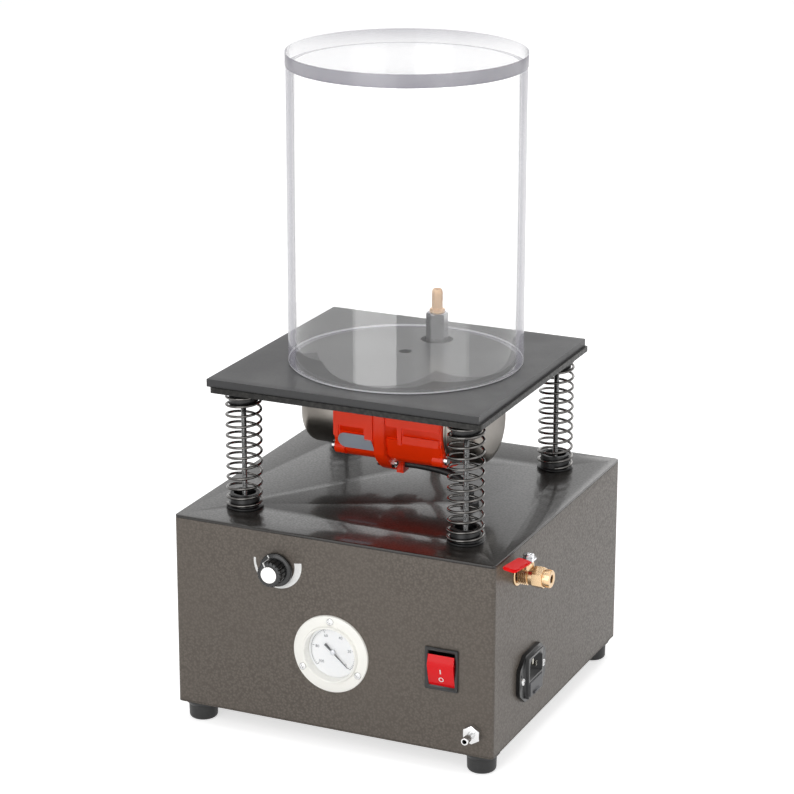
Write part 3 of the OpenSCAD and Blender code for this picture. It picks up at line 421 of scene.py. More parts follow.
def coil_tree():
    """One spring: a round wire wound up an axis, its turns closing towards both ends."""
    t = Tree("coil", Coil_Radius="f", Wire_Radius="f", Turns="f", Bottom="f", Top="f", Phase="f",
             Closing="f", Middle="v", Material="m")
    line = t.add("GeometryNodeCurvePrimitiveLine", End=(0, 0, 1))
    points = t.add("GeometryNodeResampleCurve", Curve=line.outputs[0], Count=417)
    along = Num(t.tree, t.add("GeometryNodeSplineParameter").outputs["Factor"])
    turns, k = t.input("Turns"), t.input("Closing")
    turned = along * turns

    def climbed(u):
        return k * u + (1 - k) * u * u * 0.25

    end = k * 2 + (1 - k)
    share = (climbed(turned.least(2)) + (turned - 2).most(0).least(turns - 4) + end
             - climbed((turns - turned).least(2))) / (2 * end + turns - 4)
    angle = t.input("Phase") + turned * (2 * math.pi)
    radius = t.input("Coil_Radius")
    rise = t.input("Bottom") + (t.input("Top") - t.input("Bottom")) * share
    spot = t.add("ShaderNodeCombineXYZ", X=radius * angle.math("COSINE"), Y=radius * angle.math("SINE"), Z=rise)
    centred = t.add("ShaderNodeVectorMath", {"operation": "ADD"})
    t.put(centred.inputs[0], spot.outputs[0])
    t.put(centred.inputs[1], t.input("Middle"))
    placed = t.add("GeometryNodeSetPosition", Geometry=points.outputs[0], Position=centred.outputs[0])
    ring = t.add("GeometryNodeCurvePrimitiveCircle", Resolution=10, Radius=t.input("Wire_Radius"))
    wire = t.add("GeometryNodeCurveToMesh", Curve=placed.outputs[0], Profile_Curve=ring.outputs[0], Fill_Caps=True)
    return t.close(wire.outputs[0])


def line_tree():
    """A flexible line: a round tube along the base mesh's chain of edges."""
    t = Tree("line", Radius="f", Sides="i", Material="m")
    path = t.add("GeometryNodeMeshToCurve", Mesh=t.start.outputs["Geometry"])
    ring = t.add("GeometryNodeCurvePrimitiveCircle", Resolution=t.input("Sides"), Radius=t.input("Radius"))
    skin = t.add("GeometryNodeCurveToMesh", Curve=path.outputs[0], Profile_Curve=ring.outputs[0], Fill_Caps=True)
    return t.close(skin.outputs[0])


def copies(name, shape, places, material, angle=32):
    """The shape, an object drawn at the origin, at each matrix of places, as one mesh."""
    t = Tree(name + "_set", Material="m")
    info = t.add("GeometryNodeObjectInfo", {"transform_space": "ORIGINAL"}, Object=shape)
    turn = t.add("GeometryNodeInputNamedAttribute", {"data_type": "FLOAT_VECTOR"}, Name="turn")
    grown = t.add("GeometryNodeTransform", Geometry=info.outputs["Geometry"], Scale=(1000, 1000, 1000))
    put = t.add("GeometryNodeInstanceOnPoints", Points=t.start.outputs["Geometry"],
                Instance=grown.outputs[0], Rotation=turn.outputs[0])
    t.close(put.outputs[0])
    base = bpy.data.meshes.new(name + "_points")
    base.from_pydata([m.to_translation() for m in places], [], [])
    attribute = base.attributes.new("turn", "FLOAT_VECTOR", "POINT")
    for item, m in zip(attribute.data, places):
        item.vector = m.to_euler()
    piece = t.build(name, base, angle, Material=material)
    bpy.data.objects.remove(shape)
    return piece


def threaded_line(name, route, radius, material, sides=16, steps=6):
    """A flexible line through a route's points, straight at both ends."""
    points = smooth_route(route, steps)
    base = bpy.data.meshes.new(name + "_path")
    base.from_pydata(points, [(i, i + 1) for i in range(len(points) - 1)], [])
    piece = line_tree().build(name, base, 60, Radius=radius, Sides=sides, Material=material)
    return piece, [tuple(c * MM for c in p) for p in points]


def smooth_route(route, steps):
    p = [Vector(q) for q in route]
    p = [p[0], (p[0] + p[1]) / 2, *p[1:-1], (p[-2] + p[-1]) / 2, p[-1]]
    out = []
    for i in range(len(p) - 1):
        a, b, c, d = p[max(i - 1, 0)], p[i], p[i + 1], p[min(i + 2, len(p) - 1)]
        for k in range(steps):
            t = k / steps
            out.append(0.5 * (2 * b + (c - a) * t + (2 * a - 5 * b + 4 * c - d) * t * t
                              + (3 * b - a - 3 * c + d) * t ** 3))
    return [tuple(q) for q in [*out, p[-1]]]


# ---- Mesh helpers --------------------------------------------------------------------------


def smooth(mesh, angle=32):
    for p in mesh.polygons:
        p.use_smooth = True
    mesh.set_sharp_from_angle(angle=math.radians(angle))


def as_object(bm, name, material, angle, place=None):
    bm.transform(Matrix.Scale(MM, 4) @ (place or Matrix.Identity(4)))
    bmesh.ops.remove_doubles(bm, verts=bm.verts, dist=1e-7)
    bmesh.ops.recalc_face_normals(bm, faces=bm.faces)
    mesh = bpy.data.meshes.new(name)
    bm.to_mesh(mesh)
    bm.free()
    smooth(mesh, angle)
    piece = bpy.data.objects.new(name, mesh)
    bpy.context.scene.collection.objects.link(piece)
    if material:
        mesh.materials.append(material)
    return piece


def lathe(name, profile, material=None, place=None, steps=64, angle=32):
    """A closed solid turned round local Z from a loop of (radius, height) pairs."""
    bm = bmesh.new()
    rings = []
    for r, h in profile:
        count = 1 if r < 1e-6 else steps
        rings.append([bm.verts.new((r * math.cos(2 * math.pi * k / steps), r * math.sin(2 * math.pi * k / steps), h))
                      for k in range(count)])
    for a, b in zip(rings, rings[1:] + rings[:1]):
        if len(a) == 1 and len(b) == 1:
            continue
        for k in range(steps):
            n = (k + 1) % steps
            if len(a) == 1:
                bm.faces.new((a[0], b[n], b[k]))
            elif len(b) == 1:
                bm.faces.new((a[k], a[n], b[0]))
            else:
                bm.faces.new((a[k], a[n], b[n], b[k]))
    return as_object(bm, name, material, angle, place)


def eased(profile, r, steps=3):
    """The same turned profile with its corners rounded by r where there is room."""
    out = []
    for i, p in enumerate(profile):
        here = Vector(p)
        a, b = Vector(profile[i - 1]) - here, Vector(profile[(i + 1) % len(profile)]) - here
        cut_back = min(r, a.length * 0.45, b.length * 0.45)
        straight = a.length < 1e-6 or b.length < 1e-6 or abs(a.normalized().cross(b.normalized())) < 0.05
        if here.x < 1e-6 or straight:
            out.append((here.x, here.y))
            continue
        start, end = here + a.normalized() * cut_back, here + b.normalized() * cut_back
        for k in range(steps + 1):
            t = k / steps
            q = start * (1 - t) ** 2 + here * 2 * t * (1 - t) + end * t * t
            out.append((q.x, q.y))
    return out


def prism(name, outline, z0, z1, material=None, place=None, bevel=0.0, segments=3):
    """An outline in local X and Y pulled from z0 to z1, with its edges rounded by bevel."""
    bm = bmesh.new()
    face = bm.faces.new([bm.verts.new((x, y, z0)) for x, y in outline])
    pulled = bmesh.ops.extrude_face_region(bm, geom=[face])
    far = [v for v in pulled["geom"] if isinstance(v, bmesh.types.BMVert)]
    bmesh.ops.translate(bm, verts=far, vec=(0, 0, z1 - z0))
    bmesh.ops.recalc_face_normals(bm, faces=bm.faces)
    if bevel:
        sharp = [e for e in bm.edges if e.calc_face_angle(0) > math.radians(25)]
        bmesh.ops.bevel(bm, geom=sharp, offset=bevel, segments=segments, affect="EDGES", clamp_overlap=True)
    return as_object(bm, name, material, 32, place)


def swept(r, angles, cx=0.0, cy=0.0):
    """Points at these angles, in degrees, on a circle of radius r."""
    return [(cx + r * math.cos(math.radians(a)), cy + r * math.sin(math.radians(a))) for a in angles]


def rect(w, h, r=0.0, cx=0.0, cy=0.0):
    if not r:
        return [(cx + sx * w / 2, cy + sy * h / 2) for sx, sy in ((-1, -1), (1, -1), (1, 1), (-1, 1))]
    out = []
    for sx, sy, start in ((1, -1, -90), (1, 1, 0), (-1, 1, 90), (-1, -1, 180)):
        out += swept(r, range(start, start + 91, 18), cx + sx * (w / 2 - r), cy + sy * (h / 2 - r))
    return out


def circle(r, cx=0.0, cy=0.0):
    return swept(r, range(0, 360, 9), cx, cy)


def hexagon(across):
    return swept(across / 2 / math.cos(math.pi / 6), range(30, 390, 60))


def nut(name, across, z0, z1, material, place, bore=0.0):
    """A hexagon with its corners turned off at the end faces, and its bore."""
    corner = across / 2 / math.cos(math.pi / 6)
    drop = (corner - across / 2) * 0.62
    body = prism(name, hexagon(across), z0, z1, material)
    wide, narrow = corner + 0.05, across / 2 - 0.1
    outer = lathe("turned", [(0, z0), (narrow, z0), (wide, z0 + drop), (wide, z1 - drop), (narrow, z1), (0, z1)],
                  steps=48)
    body = cut(body, outer, "INTERSECT")
    if bore:
        body = cut(body, lathe("bore", [(0, z0 - 1), (bore, z0 - 1), (bore, z1 + 1), (0, z1 + 1)], steps=32))
    return moved(body, place)


def moved(piece, place):
    """The piece with its place, drawn in millimetres, put into its mesh."""
    m = place.copy()
    m.translation *= MM
    piece.data.transform(m)
    return piece


def flat_shape(name, outline, holes, thick, bevel, material, place):
    """A flat plate with holes, every rim eased by bevel; its back lies at local z 0."""
    curve = bpy.data.curves.new(name, "CURVE")
    curve.dimensions = "2D"
    curve.fill_mode = "BOTH"
    for ring in [outline, *holes]:
        spline = curve.splines.new("POLY")
        spline.points.add(len(ring) - 1)
        for point, (x, y) in zip(spline.points, ring):
            point.co = (x, y, 0, 1)
        spline.use_cyclic_u = True
    curve.extrude = thick / 2 - bevel
    curve.bevel_depth = bevel
    curve.bevel_resolution = 2
    curve.offset = -bevel
    return from_curve(curve, name, material, place, thick / 2)


def lettering(name, words, size, depth, material, place):
    """Plain numbers as a thin mesh, centred on local x 0, y 0."""
    curve = bpy.data.curves.new(name, "FONT")
    curve.body = words
    curve.size = size
    curve.extrude = depth / 2
    curve.align_x = "CENTER"
    curve.align_y = "CENTER"
    curve.resolution_u = 3
    return from_curve(curve, name, material, place, depth / 2)


def from_curve(curve, name, material, place, rise):
    holder = bpy.data.objects.new(name + "_maker", curve)
    bpy.context.scene.collection.objects.link(holder)
    mesh = evaluated(holder)
    bpy.data.objects.remove(holder)
    bm = bmesh.new()
    bm.from_mesh(mesh)
    bmesh.ops.translate(bm, verts=bm.verts, vec=(0, 0, rise))
    return as_object(bm, name, material, 32, place)


def join(name, *parts):
    """One object of several, each keeping its own material."""
    bm = bmesh.new()
    materials = []
    for part in parts:
        places = []
        for m in part.data.materials:
            if m not in materials:
                materials.append(m)
            places.append(materials.index(m))
        count = len(bm.faces)
        bm.from_mesh(part.data)
        bm.faces.ensure_lookup_table()
        for face in bm.faces[count:]:
            face.material_index = places[face.material_index] if places else 0
        bpy.data.objects.remove(part)
    mesh = bpy.data.meshes.new(name)
    bm.to_mesh(mesh)
    bm.free()
    for m in materials:
        mesh.materials.append(m)
    piece = bpy.data.objects.new(name, mesh)
    bpy.context.scene.collection.objects.link(piece)
    return piece


def cut(piece, cutter, operation="DIFFERENCE"):
    """The piece after a boolean with cutter, which goes away."""
    modifier = piece.modifiers.new("cut", "BOOLEAN")
    modifier.operation = operation
    modifier.solver = "EXACT"
    modifier.object = cutter
    mesh = evaluated(piece)
    piece.modifiers.clear()
    piece.data = mesh
    bpy.data.objects.remove(cutter)
    smooth(mesh)
    return piece


def refined(name, node, material, bevel=0.0):
    """A copy of a CAD node with its triangles merged, its curves smooth and its edges eased."""
    source = frame["nodes"][node]
    bm = bmesh.new()
    bm.from_mesh(source.data)
    bmesh.ops.remove_doubles(bm, verts=bm.verts, dist=2e-6)
    bmesh.ops.dissolve_limit(bm, angle_limit=math.radians(1), verts=bm.verts, edges=bm.edges)
    if bevel:
        sharp = [e for e in bm.edges if len(e.link_faces) == 2 and e.calc_face_angle(0) > math.radians(35)]
        bmesh.ops.bevel(bm, geom=sharp, offset=bevel * MM, segments=2, affect="EDGES", clamp_overlap=True)
    mesh = bpy.data.meshes.new(name)
    bm.to_mesh(mesh)
    bm.free()
    smooth(mesh)
    mesh.materials.append(material)
    piece = bpy.data.objects.new(name, mesh)
    bpy.context.scene.collection.objects.link(piece)
    return piece


def settle(piece, body, slot, *nodes):
    """The piece rides on a body and stands for the named CAD nodes, which it hides; slot is not used."""
    if nodes:
        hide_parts(*nodes)
    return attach(piece, body)


def paint(material, *nodes):
    """CAD nodes that keep their own shape take this finish."""
    for node in nodes:
        for slot in frame["nodes"][node].material_slots:
            slot.material = material


def pan_head(r, h, material):
    """A pan head screw with a cross recess, its seat at z 0."""
    dome = [(r * math.sin(math.radians(a)), h * (0.4 + 0.6 * math.cos(math.radians(a)))) for a in range(15, 100, 15)]
    head = lathe("head", [(0, 0), (r, 0), *reversed(dome), (0, h)], material, steps=32)
    for w, d in ((r * 1.2, r * 0.26), (r * 0.26, r * 1.2)):
        head = cut(head, prism("slot", rect(w, d), h * 0.5, h * 1.5))
    return head


# ---- Sizes and colours that a user may change ------------------------------------------------


def color(name, description, default):
    return FloatVectorProperty(name=name, description=description, subtype="COLOR", size=3, min=0, max=1,
                               default=default)


class CastingColours(bpy.types.PropertyGroup):
    """Colours of the painted, moulded and cast pieces."""

    paint: color("Case paint", "Hammered paint on the steel case", linear(99, 92, 85))
    table: color("Table", "Paint on the table plate", linear(36, 35, 33))
    mat: color("Mat", "Rubber mat on the table", linear(50, 50, 51))
    red: color("Motor casting", "Enamel on the vibration motor", linear(255, 56, 6))
    rocker: color("Rocker", "Moulded rocker of the power switch", linear(214, 14, 22))
    brass: color("Brass", "Valve and fittings", linear(216, 186, 148))
    acrylic: color("Jar", "Clear jar and its lid", linear(112, 110, 120))
    ink: color("Print", "Screen-printed marks on the front", linear(240, 240, 238))


class CastingSizes(bpy.types.PropertyGroup):
    """Sizes of the finer shapes, in millimetres."""

    wire: FloatProperty(name="Spring wire", description="Diameter of the spring wire", default=2.0, min=1, max=3)
    turns: FloatProperty(name="Spring turns", description="Turns in each spring", default=11.5, min=6, max=14)
    edge: FloatProperty(name="Sheet edge", description="Rounding on the edges of the folded sheet", default=0.55,
                        min=0.1, max=0.9)
    flutes: IntProperty(name="Knob flutes", description="Grooves round the speed knob", default=18, min=8, max=36)
    ticks: IntProperty(name="Dial ticks", description="Marks between the ends of the gauge's scale", default=50,
                       min=10, max=100)
    sag: FloatProperty(name="Mat waves", description="How uneven the rubber mat lies", default=0.25, min=0, max=1)


class Maker:
    """What every piece's operator shares."""

    bl_options = {"REGISTER", "UNDO"}

    def execute(self, context):
        self.make(context.scene.casting_colours, context.scene.casting_sizes)
        return {"FINISHED"}


# ---- Stage ---------------------------------------------------------------------------------


class CASTING_OT_stage(Maker, bpy.types.Operator):
    """Pale floor, soft studio lamps and the camera"""

    bl_idname = "casting.stage"
    bl_label = "Stage"

    def make(self, colours, sizes):
        self.floor()
        self.world()
        self.lamp("front", (-0.065, -0.737, 0.45), (0, 0, 0.45), 0.55, 0.86, 2.8)
        self.lamp("right", (0.673, -0.307, 0.45), (0, 0, 0.45), 0.5, 0.86, 1.25)
        self.lamp("over", (-0.2, 0.5, 2.6), (0, 0, 0.3), 2.2, 1.8, 26)
        self.lamp("rear", (0.4, 2.6, 1.2), (0, 0, 0.25), 2.0, 1.2, 14)
        self.camera()

    def seen(self, nodes):
        """1 where the camera, or a mirror or glass before it, looks straight at the surface."""
        path = nodes.add("ShaderNodeLightPath")
        camera, mirror, glass = (Num(nodes.tree, path.outputs[f"Is {name} Ray"])
                                 for name in ("Camera", "Glossy", "Transmission"))
        return camera.most(mirror).most(glass)

    def floor(self):
        mesh = bpy.data.meshes.new("floor")
        z = FLOOR * MM - 0.0002
        mesh.from_pydata([(-30, -30, z), (30, -30, z), (30, 30, z), (-30, 30, z)], [], [(0, 1, 2, 3)])
        floor = bpy.data.objects.new("floor", mesh)
        bpy.context.scene.collection.objects.link(floor)
        material = bpy.data.materials.new("floor")
        material.use_nodes = True
        nodes = Nodes(material.node_tree)
        matt = nodes.add("ShaderNodeBsdfDiffuse", Color=(0.9, 0.9, 0.9, 1))
        glow = nodes.add("ShaderNodeEmission", Color=(1, 1, 1, 1), Strength=self.seen(nodes) * 0.62)
        both = nodes.join("ShaderNodeAddShader", matt, glow)
        nodes.add("ShaderNodeOutputMaterial", Surface=both.outputs[0])
        mesh.materials.append(material)

    def world(self):
        world = bpy.data.worlds.new("studio")
        bpy.context.scene.world = world
        world.use_nodes = True
        nodes = Nodes(world.node_tree)
        back = nodes.add("ShaderNodeBackground", Color=(1, 1, 1, 1), Strength=self.seen(nodes) * 0.7 + 0.3)
        nodes.add("ShaderNodeOutputWorld", Surface=back.outputs[0])

    def lamp(self, name, place, target, width, height, power):
        data = bpy.data.lights.new(name, "AREA")
        data.shape = "RECTANGLE"
        data.size, data.size_y = width, height
        data.energy = power
        lamp = bpy.data.objects.new(name, data)
        lamp.location = place
        lamp.visible_camera = False
        lamp.rotation_euler = (Vector(target) - Vector(place)).to_track_quat("-Z", "Y").to_euler()
        bpy.context.scene.collection.objects.link(lamp)

    def camera(self):
        yaw, pitch, roll = 0.422201, 0.310841, 0.0019137
        focal, photo_width = 2798.832, 794
        ahead = Vector((-math.sin(yaw) * math.cos(pitch), math.cos(yaw) * math.cos(pitch), -math.sin(pitch)))
        right = Vector((math.cos(yaw), math.sin(yaw), 0))
        up = right.cross(ahead)
        side = math.cos(roll) * right + math.sin(roll) * up
        over = -math.sin(roll) * right + math.cos(roll) * up
        data = bpy.data.cameras.new("camera")
        data.sensor_width = 36
        data.lens = focal / photo_width * data.sensor_width
        data.clip_end = 100
        camera = bpy.data.objects.new("camera", data)
        m = Matrix((side, over, -ahead)).transposed().to_4x4()
        m.translation = (0.798394, -1.788743, 0.844045)
        camera.matrix_world = m
        bpy.context.scene.collection.objects.link(camera)
        bpy.context.scene.camera = camera
        bpy.context.scene.view_settings.view_transform = "Standard"


# ---- Case ----------------------------------------------------------------------------------


class CASTING_OT_case(Maker, bpy.types.Operator):
    """Folded steel case with its cover, base plate and the printed speed arc"""

    bl_idname = "casting.case"
    bl_label = "Case"

    def make(self, colours, sizes):
        paint_finish = hammertone("case_paint", colours.paint)
        dark = hammertone("base_paint", tinted(colours.paint, 0.8), gloss=0.4)
        settle(refined("case_sheet", "case_shell", paint_finish), "case", "case_paint", "case_shell")
        settle(refined("base_sheet", "bottom_plate", dark, 0.3), "case", "base_paint", "bottom_plate")
        w = RIGHT * 2
        holes = [circle(3.5, x, y) for x, y in SPRINGS] + [circle(6.0, *PORT), circle(4.7, *CABLE)]
        finish = hammertone("cover_paint", tinted(colours.paint, 0.14), gloss=0.3, deep=0.14, coat=0.55, haze=0.12)
        cover = flat_shape("cover_sheet", rect(w, w, 3), holes, COVER_T, sizes.edge, finish,
                           standing(0, 0, COVER - COVER_T))
        settle(cover, "case", "cover_paint", "top_cover")
        settle(refined("hole_grommets", "grommets", rubber("grommet_rubber", linear(38, 38, 40))), "case",
               "foot_rubber", "grommets")
        self.arc(colours)

    def arc(self, colours):
        """The white mark round the speed knob: it widens from the upper left, under the knob, to the right."""
        outer, inner, reach = [], [], 19
        for k in range(49):
            t = k / 48
            a = math.radians(174 + 194 * t)
            outer.append((reach * math.cos(a), reach * math.sin(a)))
            r = reach - (1.6 + 4.2 * t ** 1.2)
            inner.append((r * math.cos(a), r * math.sin(a)))
        mark = prism("speed_arc", outer + inner[::-1], -0.02, 0.05, printed("print_ink", colours.ink),
                     on_front(*KNOB_ARC))
        settle(mark, "case", "case_paint")


class CASTING_OT_feet(Maker, bpy.types.Operator):
    """Four rubber feet with their screws"""

    bl_idname = "casting.feet"
    bl_label = "Feet"

    def make(self, colours, sizes):
        black = rubber("foot_rubber", linear(36, 36, 36), 0.5)
        round_edge = swept(2.5, range(0, -91, -15), 8, -12.5)
        shape = lathe("foot", [(0, 0), *eased([(13.2, 0), (13.2, -1.2), (10.5, -4.5)], 0.5), *round_edge,
                               (4.7, -15), (4.5, -14.8), (4.5, -9), (2.3, -9), (2.3, -8.9), (0, -8.9)],
                      black, steps=48)
        inset = RIGHT - 13.6
        spots = [standing(sx * inset, sy * inset, 0) for sx in (-1, 1) for sy in (-1, 1)]
        settle(copies("feet", shape, spots, black), "case", "foot_rubber", "rubber_feet")
        paint(metal("screw_steel", linear(196, 196, 198), 0.3), "base_screws")


# ---- Front panel ---------------------------------------------------------------------------


class CASTING_OT_knob(Maker, bpy.types.Operator):
    """Fluted speed knob with its metal cap and a white pointer line, which is a painted highlight on the pointer's
    raised edge
    """

    bl_idname = "casting.knob"
    bl_label = "Speed knob"

    def make(self, colours, sizes):
        black = plastic("knob_plastic", linear(13, 13, 14), 0.28, coat=0.2)
        # The white pointer marks are a painted highlight: they stand for the lit edge of a raised pointer
        white = printed("pointer_ink", linear(236, 236, 234))
        place = on_front(*KNOB)
        steps = sizes.flutes * 12
        outline = []
        for k in range(steps):
            a = 2 * math.pi * k / steps
            groove = max(0.0, math.cos(sizes.flutes * (a - math.radians(10)))) ** 3
            outline.append(((9.5 - 0.75 * groove) * math.cos(a), (9.5 - 0.75 * groove) * math.sin(a)))
        bm = bmesh.new()
        rows = [(1.0, 3.6), (1.0, 12.4), (0.985, 13.1), (0.95, 13.6), (0.9, 13.9), (0.8, 14.0), (0.68, 14.0)]
        rings = [[bm.verts.new((x * s, y * s, z)) for x, y in outline] for s, z in rows]
        for a, b in zip(rings, rings[1:]):
            for k in range(steps):
                n = (k + 1) % steps
                bm.faces.new((a[k], a[n], b[n], b[k]))
        bm.faces.new(rings[0])
        bm.faces.new(rings[-1])
        body = as_object(bm, "grip", black, 40, place)
        ring = [(0, 1), (12.2, 1), (12.5, 1.6), (12.5, 2.9), (11.9, 3.9), (9.6, 4.4), (0, 4.4)]
        skirt = lathe("skirt", eased(ring, 0.5), black, place)
        turned = place @ Matrix.Rotation(math.radians(117), 4, "Z")
        line = prism("line", rect(3.5, 1.0, 0, 8.0), 13.9, 14.06, white, turned)
        side = prism("line", rect(0.5, 1.0, 0, 9.4), 4.4, 13.3, white, turned)
        rim = prism("line", rect(2.6, 1.0, 0, 10.9), 4.1, 4.3, white, turned)
        settle(join("speed_knob", body, skirt, line, side, rim), "speed_knob", "knob_plastic", "knob")
        silver = metal("cap_aluminium", linear(240, 238, 236), 0.2, (1, 0.05, 0.05), 700, 0.1)
        disc = eased([(0, 13.2), (6.1, 13.2), (6.1, 14.3), (5.7, 14.5), (0, 14.5)], 0.25)
        settle(lathe("knob_disc", disc, silver, place), "speed_knob", "cap_aluminium", "knob_cap")
        paint(metal("control_metal", linear(180, 180, 178), 0.3), "pot_shaft", "potentiometer")


class CASTING_OT_gauge(Maker, bpy.types.Operator):
    """Flanged vacuum gauge: rim, dial with its scale, lens and needle"""

    bl_idname = "casting.gauge"
    bl_label = "Vacuum gauge"

    SWEEP = (-42, 222)

    def make(self, colours, sizes):
        place = on_front(*GAUGE)
        rim = metal("gauge_flange", linear(252, 251, 245), 0.36, (0.3, 1, 0.3), 300, 0.06, share=0.05)
        window = [(19.6, -4), (19.6, 3.1), (19.9, 3.8), (20.5, 4.2), (21.1, 4.1), (21.5, 3.5), (21.6, 2.6)]
        flange = [(21.9, 1.9), (28.2, 1.8), (28.9, 1.5), (29.25, 0.9), (29.25, 0.0)]
        can = [(20, 0), (20, -29), (5, -29), (5, -27.5), (18.4, -27.5), (18.4, -4)]
        settle(lathe("gauge_rim", window + flange + can, rim, place, 96), "case", "gauge_flange", "gauge_case")
        self.dial(place, sizes)
        lens = lathe("gauge_glass", [(0, 2.0), (19.55, 2.0), (19.55, 3.1), (18, 3.35), (12, 3.5), (6, 3.58), (0, 3.6)],
                     clear("clear_lens", linear(200, 204, 212), 0.02, 0.3, 0.86, shine=0.03), place)
        settle(lens, "case", "clear_lens", "gauge_lens")
        self.needle(place)
        paint(metal("movement_brass", linear(190, 150, 86), 0.3), "gauge_movement")
        screws = metal("panel_steel", linear(214, 214, 214), 0.25)
        spots = [place @ Matrix.Rotation(math.radians(a), 4, "Z") @ standing(25, 0, 1.75) for a in (90, 210, 330)]
        spots += [on_right(INLET[0] + s * 19.5, INLET[1]) @ standing(0, 0, 2.95) for s in (-1, 1)]
        settle(copies("panel_heads", pan_head(2.7, 1.6, screws), spots, screws), "case", "screw_steel", "panel_screws")

    def dial(self, place, sizes):
        face = Finish("dial_white")
        speck = face.noise(400, 2)
        face.set(Base_Color=face.blend(speck, linear(255, 255, 255), linear(250, 252, 255)),
                 Roughness=speck * 0.1 + 0.4)
        ink = printed("dial_ink", linear(70, 72, 78))
        plate_piece = lathe("plate", [(1.2, -4), (19.4, -4), (19.4, -3.4), (1.2, -3.4)], face.material, place, 72)
        start, end = self.SWEEP
        long_tick = prism("tick", rect(2.4, 0.35, 0, -1.2), 0, 0.06, ink)
        short_tick = prism("tick", rect(1.3, 0.2, 0, -0.65), 0, 0.06, ink)
        turn = [(start + (end - start) * k / sizes.ticks, k % 10 == 0) for k in range(sizes.ticks + 1)]

        def spots(wanted):
            return [place @ Matrix.Rotation(math.radians(a), 4, "Z") @ standing(17.6, 0, -3.41)
                    for a, is_long in turn if is_long == wanted]

        parts = [plate_piece, copies("long_ticks", long_tick, spots(True), ink),
                 copies("short_ticks", short_tick, spots(False), ink)]
        arc = swept(17.75, range(start, end + 1, 4)) + swept(17.5, range(end, start - 1, -4))
        parts.append(prism("arc", arc, -3.41, -3.36, ink, place))
        for k, words in enumerate(("0", "20", "40", "60", "80", "100")):
            a = math.radians(start + (end - start) * k / 5)
            parts.append(lettering("number", words, 3.1, 0.06, ink,
                                   place @ standing(12.9 * math.cos(a), 12.9 * math.sin(a), -3.41)))
        settle(join("dial_face", *parts), "case", "dial_white", "gauge_dial")

    def needle(self, place):
        dark = plastic("needle_black", linear(44, 46, 50), 0.4)
        hub = metal("hub_steel", linear(205, 207, 212), 0.3)
        at = place @ Matrix.Rotation(math.radians(-42), 4, "Z")
        tip = prism("tip", [(0, 0.62), (15.6, 0.16), (15.6, -0.16), (0, -0.62)], -2.5, -2.15, dark, at)
        tail = prism("tail", [(-1.5, 0.6), (-8.2, 1.05), (-8.2, -1.05), (-1.5, -0.6)], -2.5, -2.15, dark, at)
        cap = lathe("hub", eased([(0, -15.5), (0.6, -15.5), (0.6, -2.6), (2.0, -2.6), (2.0, -1.7), (1.4, -1.3),
                                  (0, -1.3)], 0.2), hub, at)
        settle(join("needle_set", tip, tail, cap), "needle", "needle_black", "gauge_needle")


class CASTING_OT_switch(Maker, bpy.types.Operator):
    """Power switch: black frame and red rocker with its two marks"""

    bl_idname = "casting.switch"
    bl_label = "Power switch"

    def make(self, colours, sizes):
        black = plastic("black_plastic", linear(12, 12, 13), 0.34, coat=0.1)
        settle(refined("switch_housing", "switch_frame", black, 0.4), "case", "black_plastic", "switch_frame")
        red = lacquer("rocker_red", colours.rocker, tinted(colours.rocker, 1.25), (60, 2), (0.06, 0.2), 0.15,
                      (0.12, 0.05), (900, 2), (0.05, 0.00005))
        width = high("switch_rocker").x - low("switch_rocker").x
        pivot = standing(low("switch_rocker").x, FRONT + 6, SWITCH_Z) @ Matrix.Rotation(math.radians(10), 4, "X")
        along = Matrix(((0, 0, 1, 0), (1, 0, 0, 0), (0, 1, 0, 0), (0, 0, 0, 1)))
        face = [(-5.8, 12), (-7.6, 8.6), (-9.1, 5.2), (-9.25, 3.4), (-9.0, -2), (-8.6, -8), (-8.0, -12)]
        back = [(-6, -12), (1, -7), (3, -3), (3, 3), (1, 7), (-6, 12)]
        body = prism("rocker", face + back, 0, width, red, pivot @ along, 0.45, 3)
        white = printed("mark_ink", linear(244, 236, 234))
        on_face = pivot @ facing((width / 2, -8.75, 0), (0, -1, -0.06))
        bar = prism("on", rect(0.8, 3.6), 0.14, 0.26, white, on_face @ standing(0, 0.6, 0.25))
        ring = flat_shape("off", circle(1.9), [circle(1.25)], 0.16, 0.02, white, on_face @ standing(0, -6.2, 0.2))
        settle(join("rocker_marked", body, bar, ring), "rocker", "rocker_red", "switch_rocker")


class CASTING_OT_nipple(Maker, bpy.types.Operator):
    """Steel hose nipple low on the front"""

    bl_idname = "casting.nipple"
    bl_label = "Hose nipple"

    def make(self, colours, sizes):
        bright = metal("nipple_steel", linear(222, 222, 222), 0.18)
        place = on_front(*NIPPLE)
        profile = [(1.65, -21), (2.75, -21), (2.75, -13), (3, -13), (3, 4.6), (2.75, 5.2), (2.75, 15.6),
                   (2.75, 16.4), (2.45, 17), (1.65, 17)]
        tube = lathe("stub", eased(profile, 0.25), bright, place, 40)
        settle(join("nipple_turned", tube, nut("hex", 12, 0, 5, bright, place),
                    nut("back", 10, -5.5, -1.5, bright, place)), "case", "nipple_steel", "hose_nipple")


# ---- Right side ----------------------------------------------------------------------------


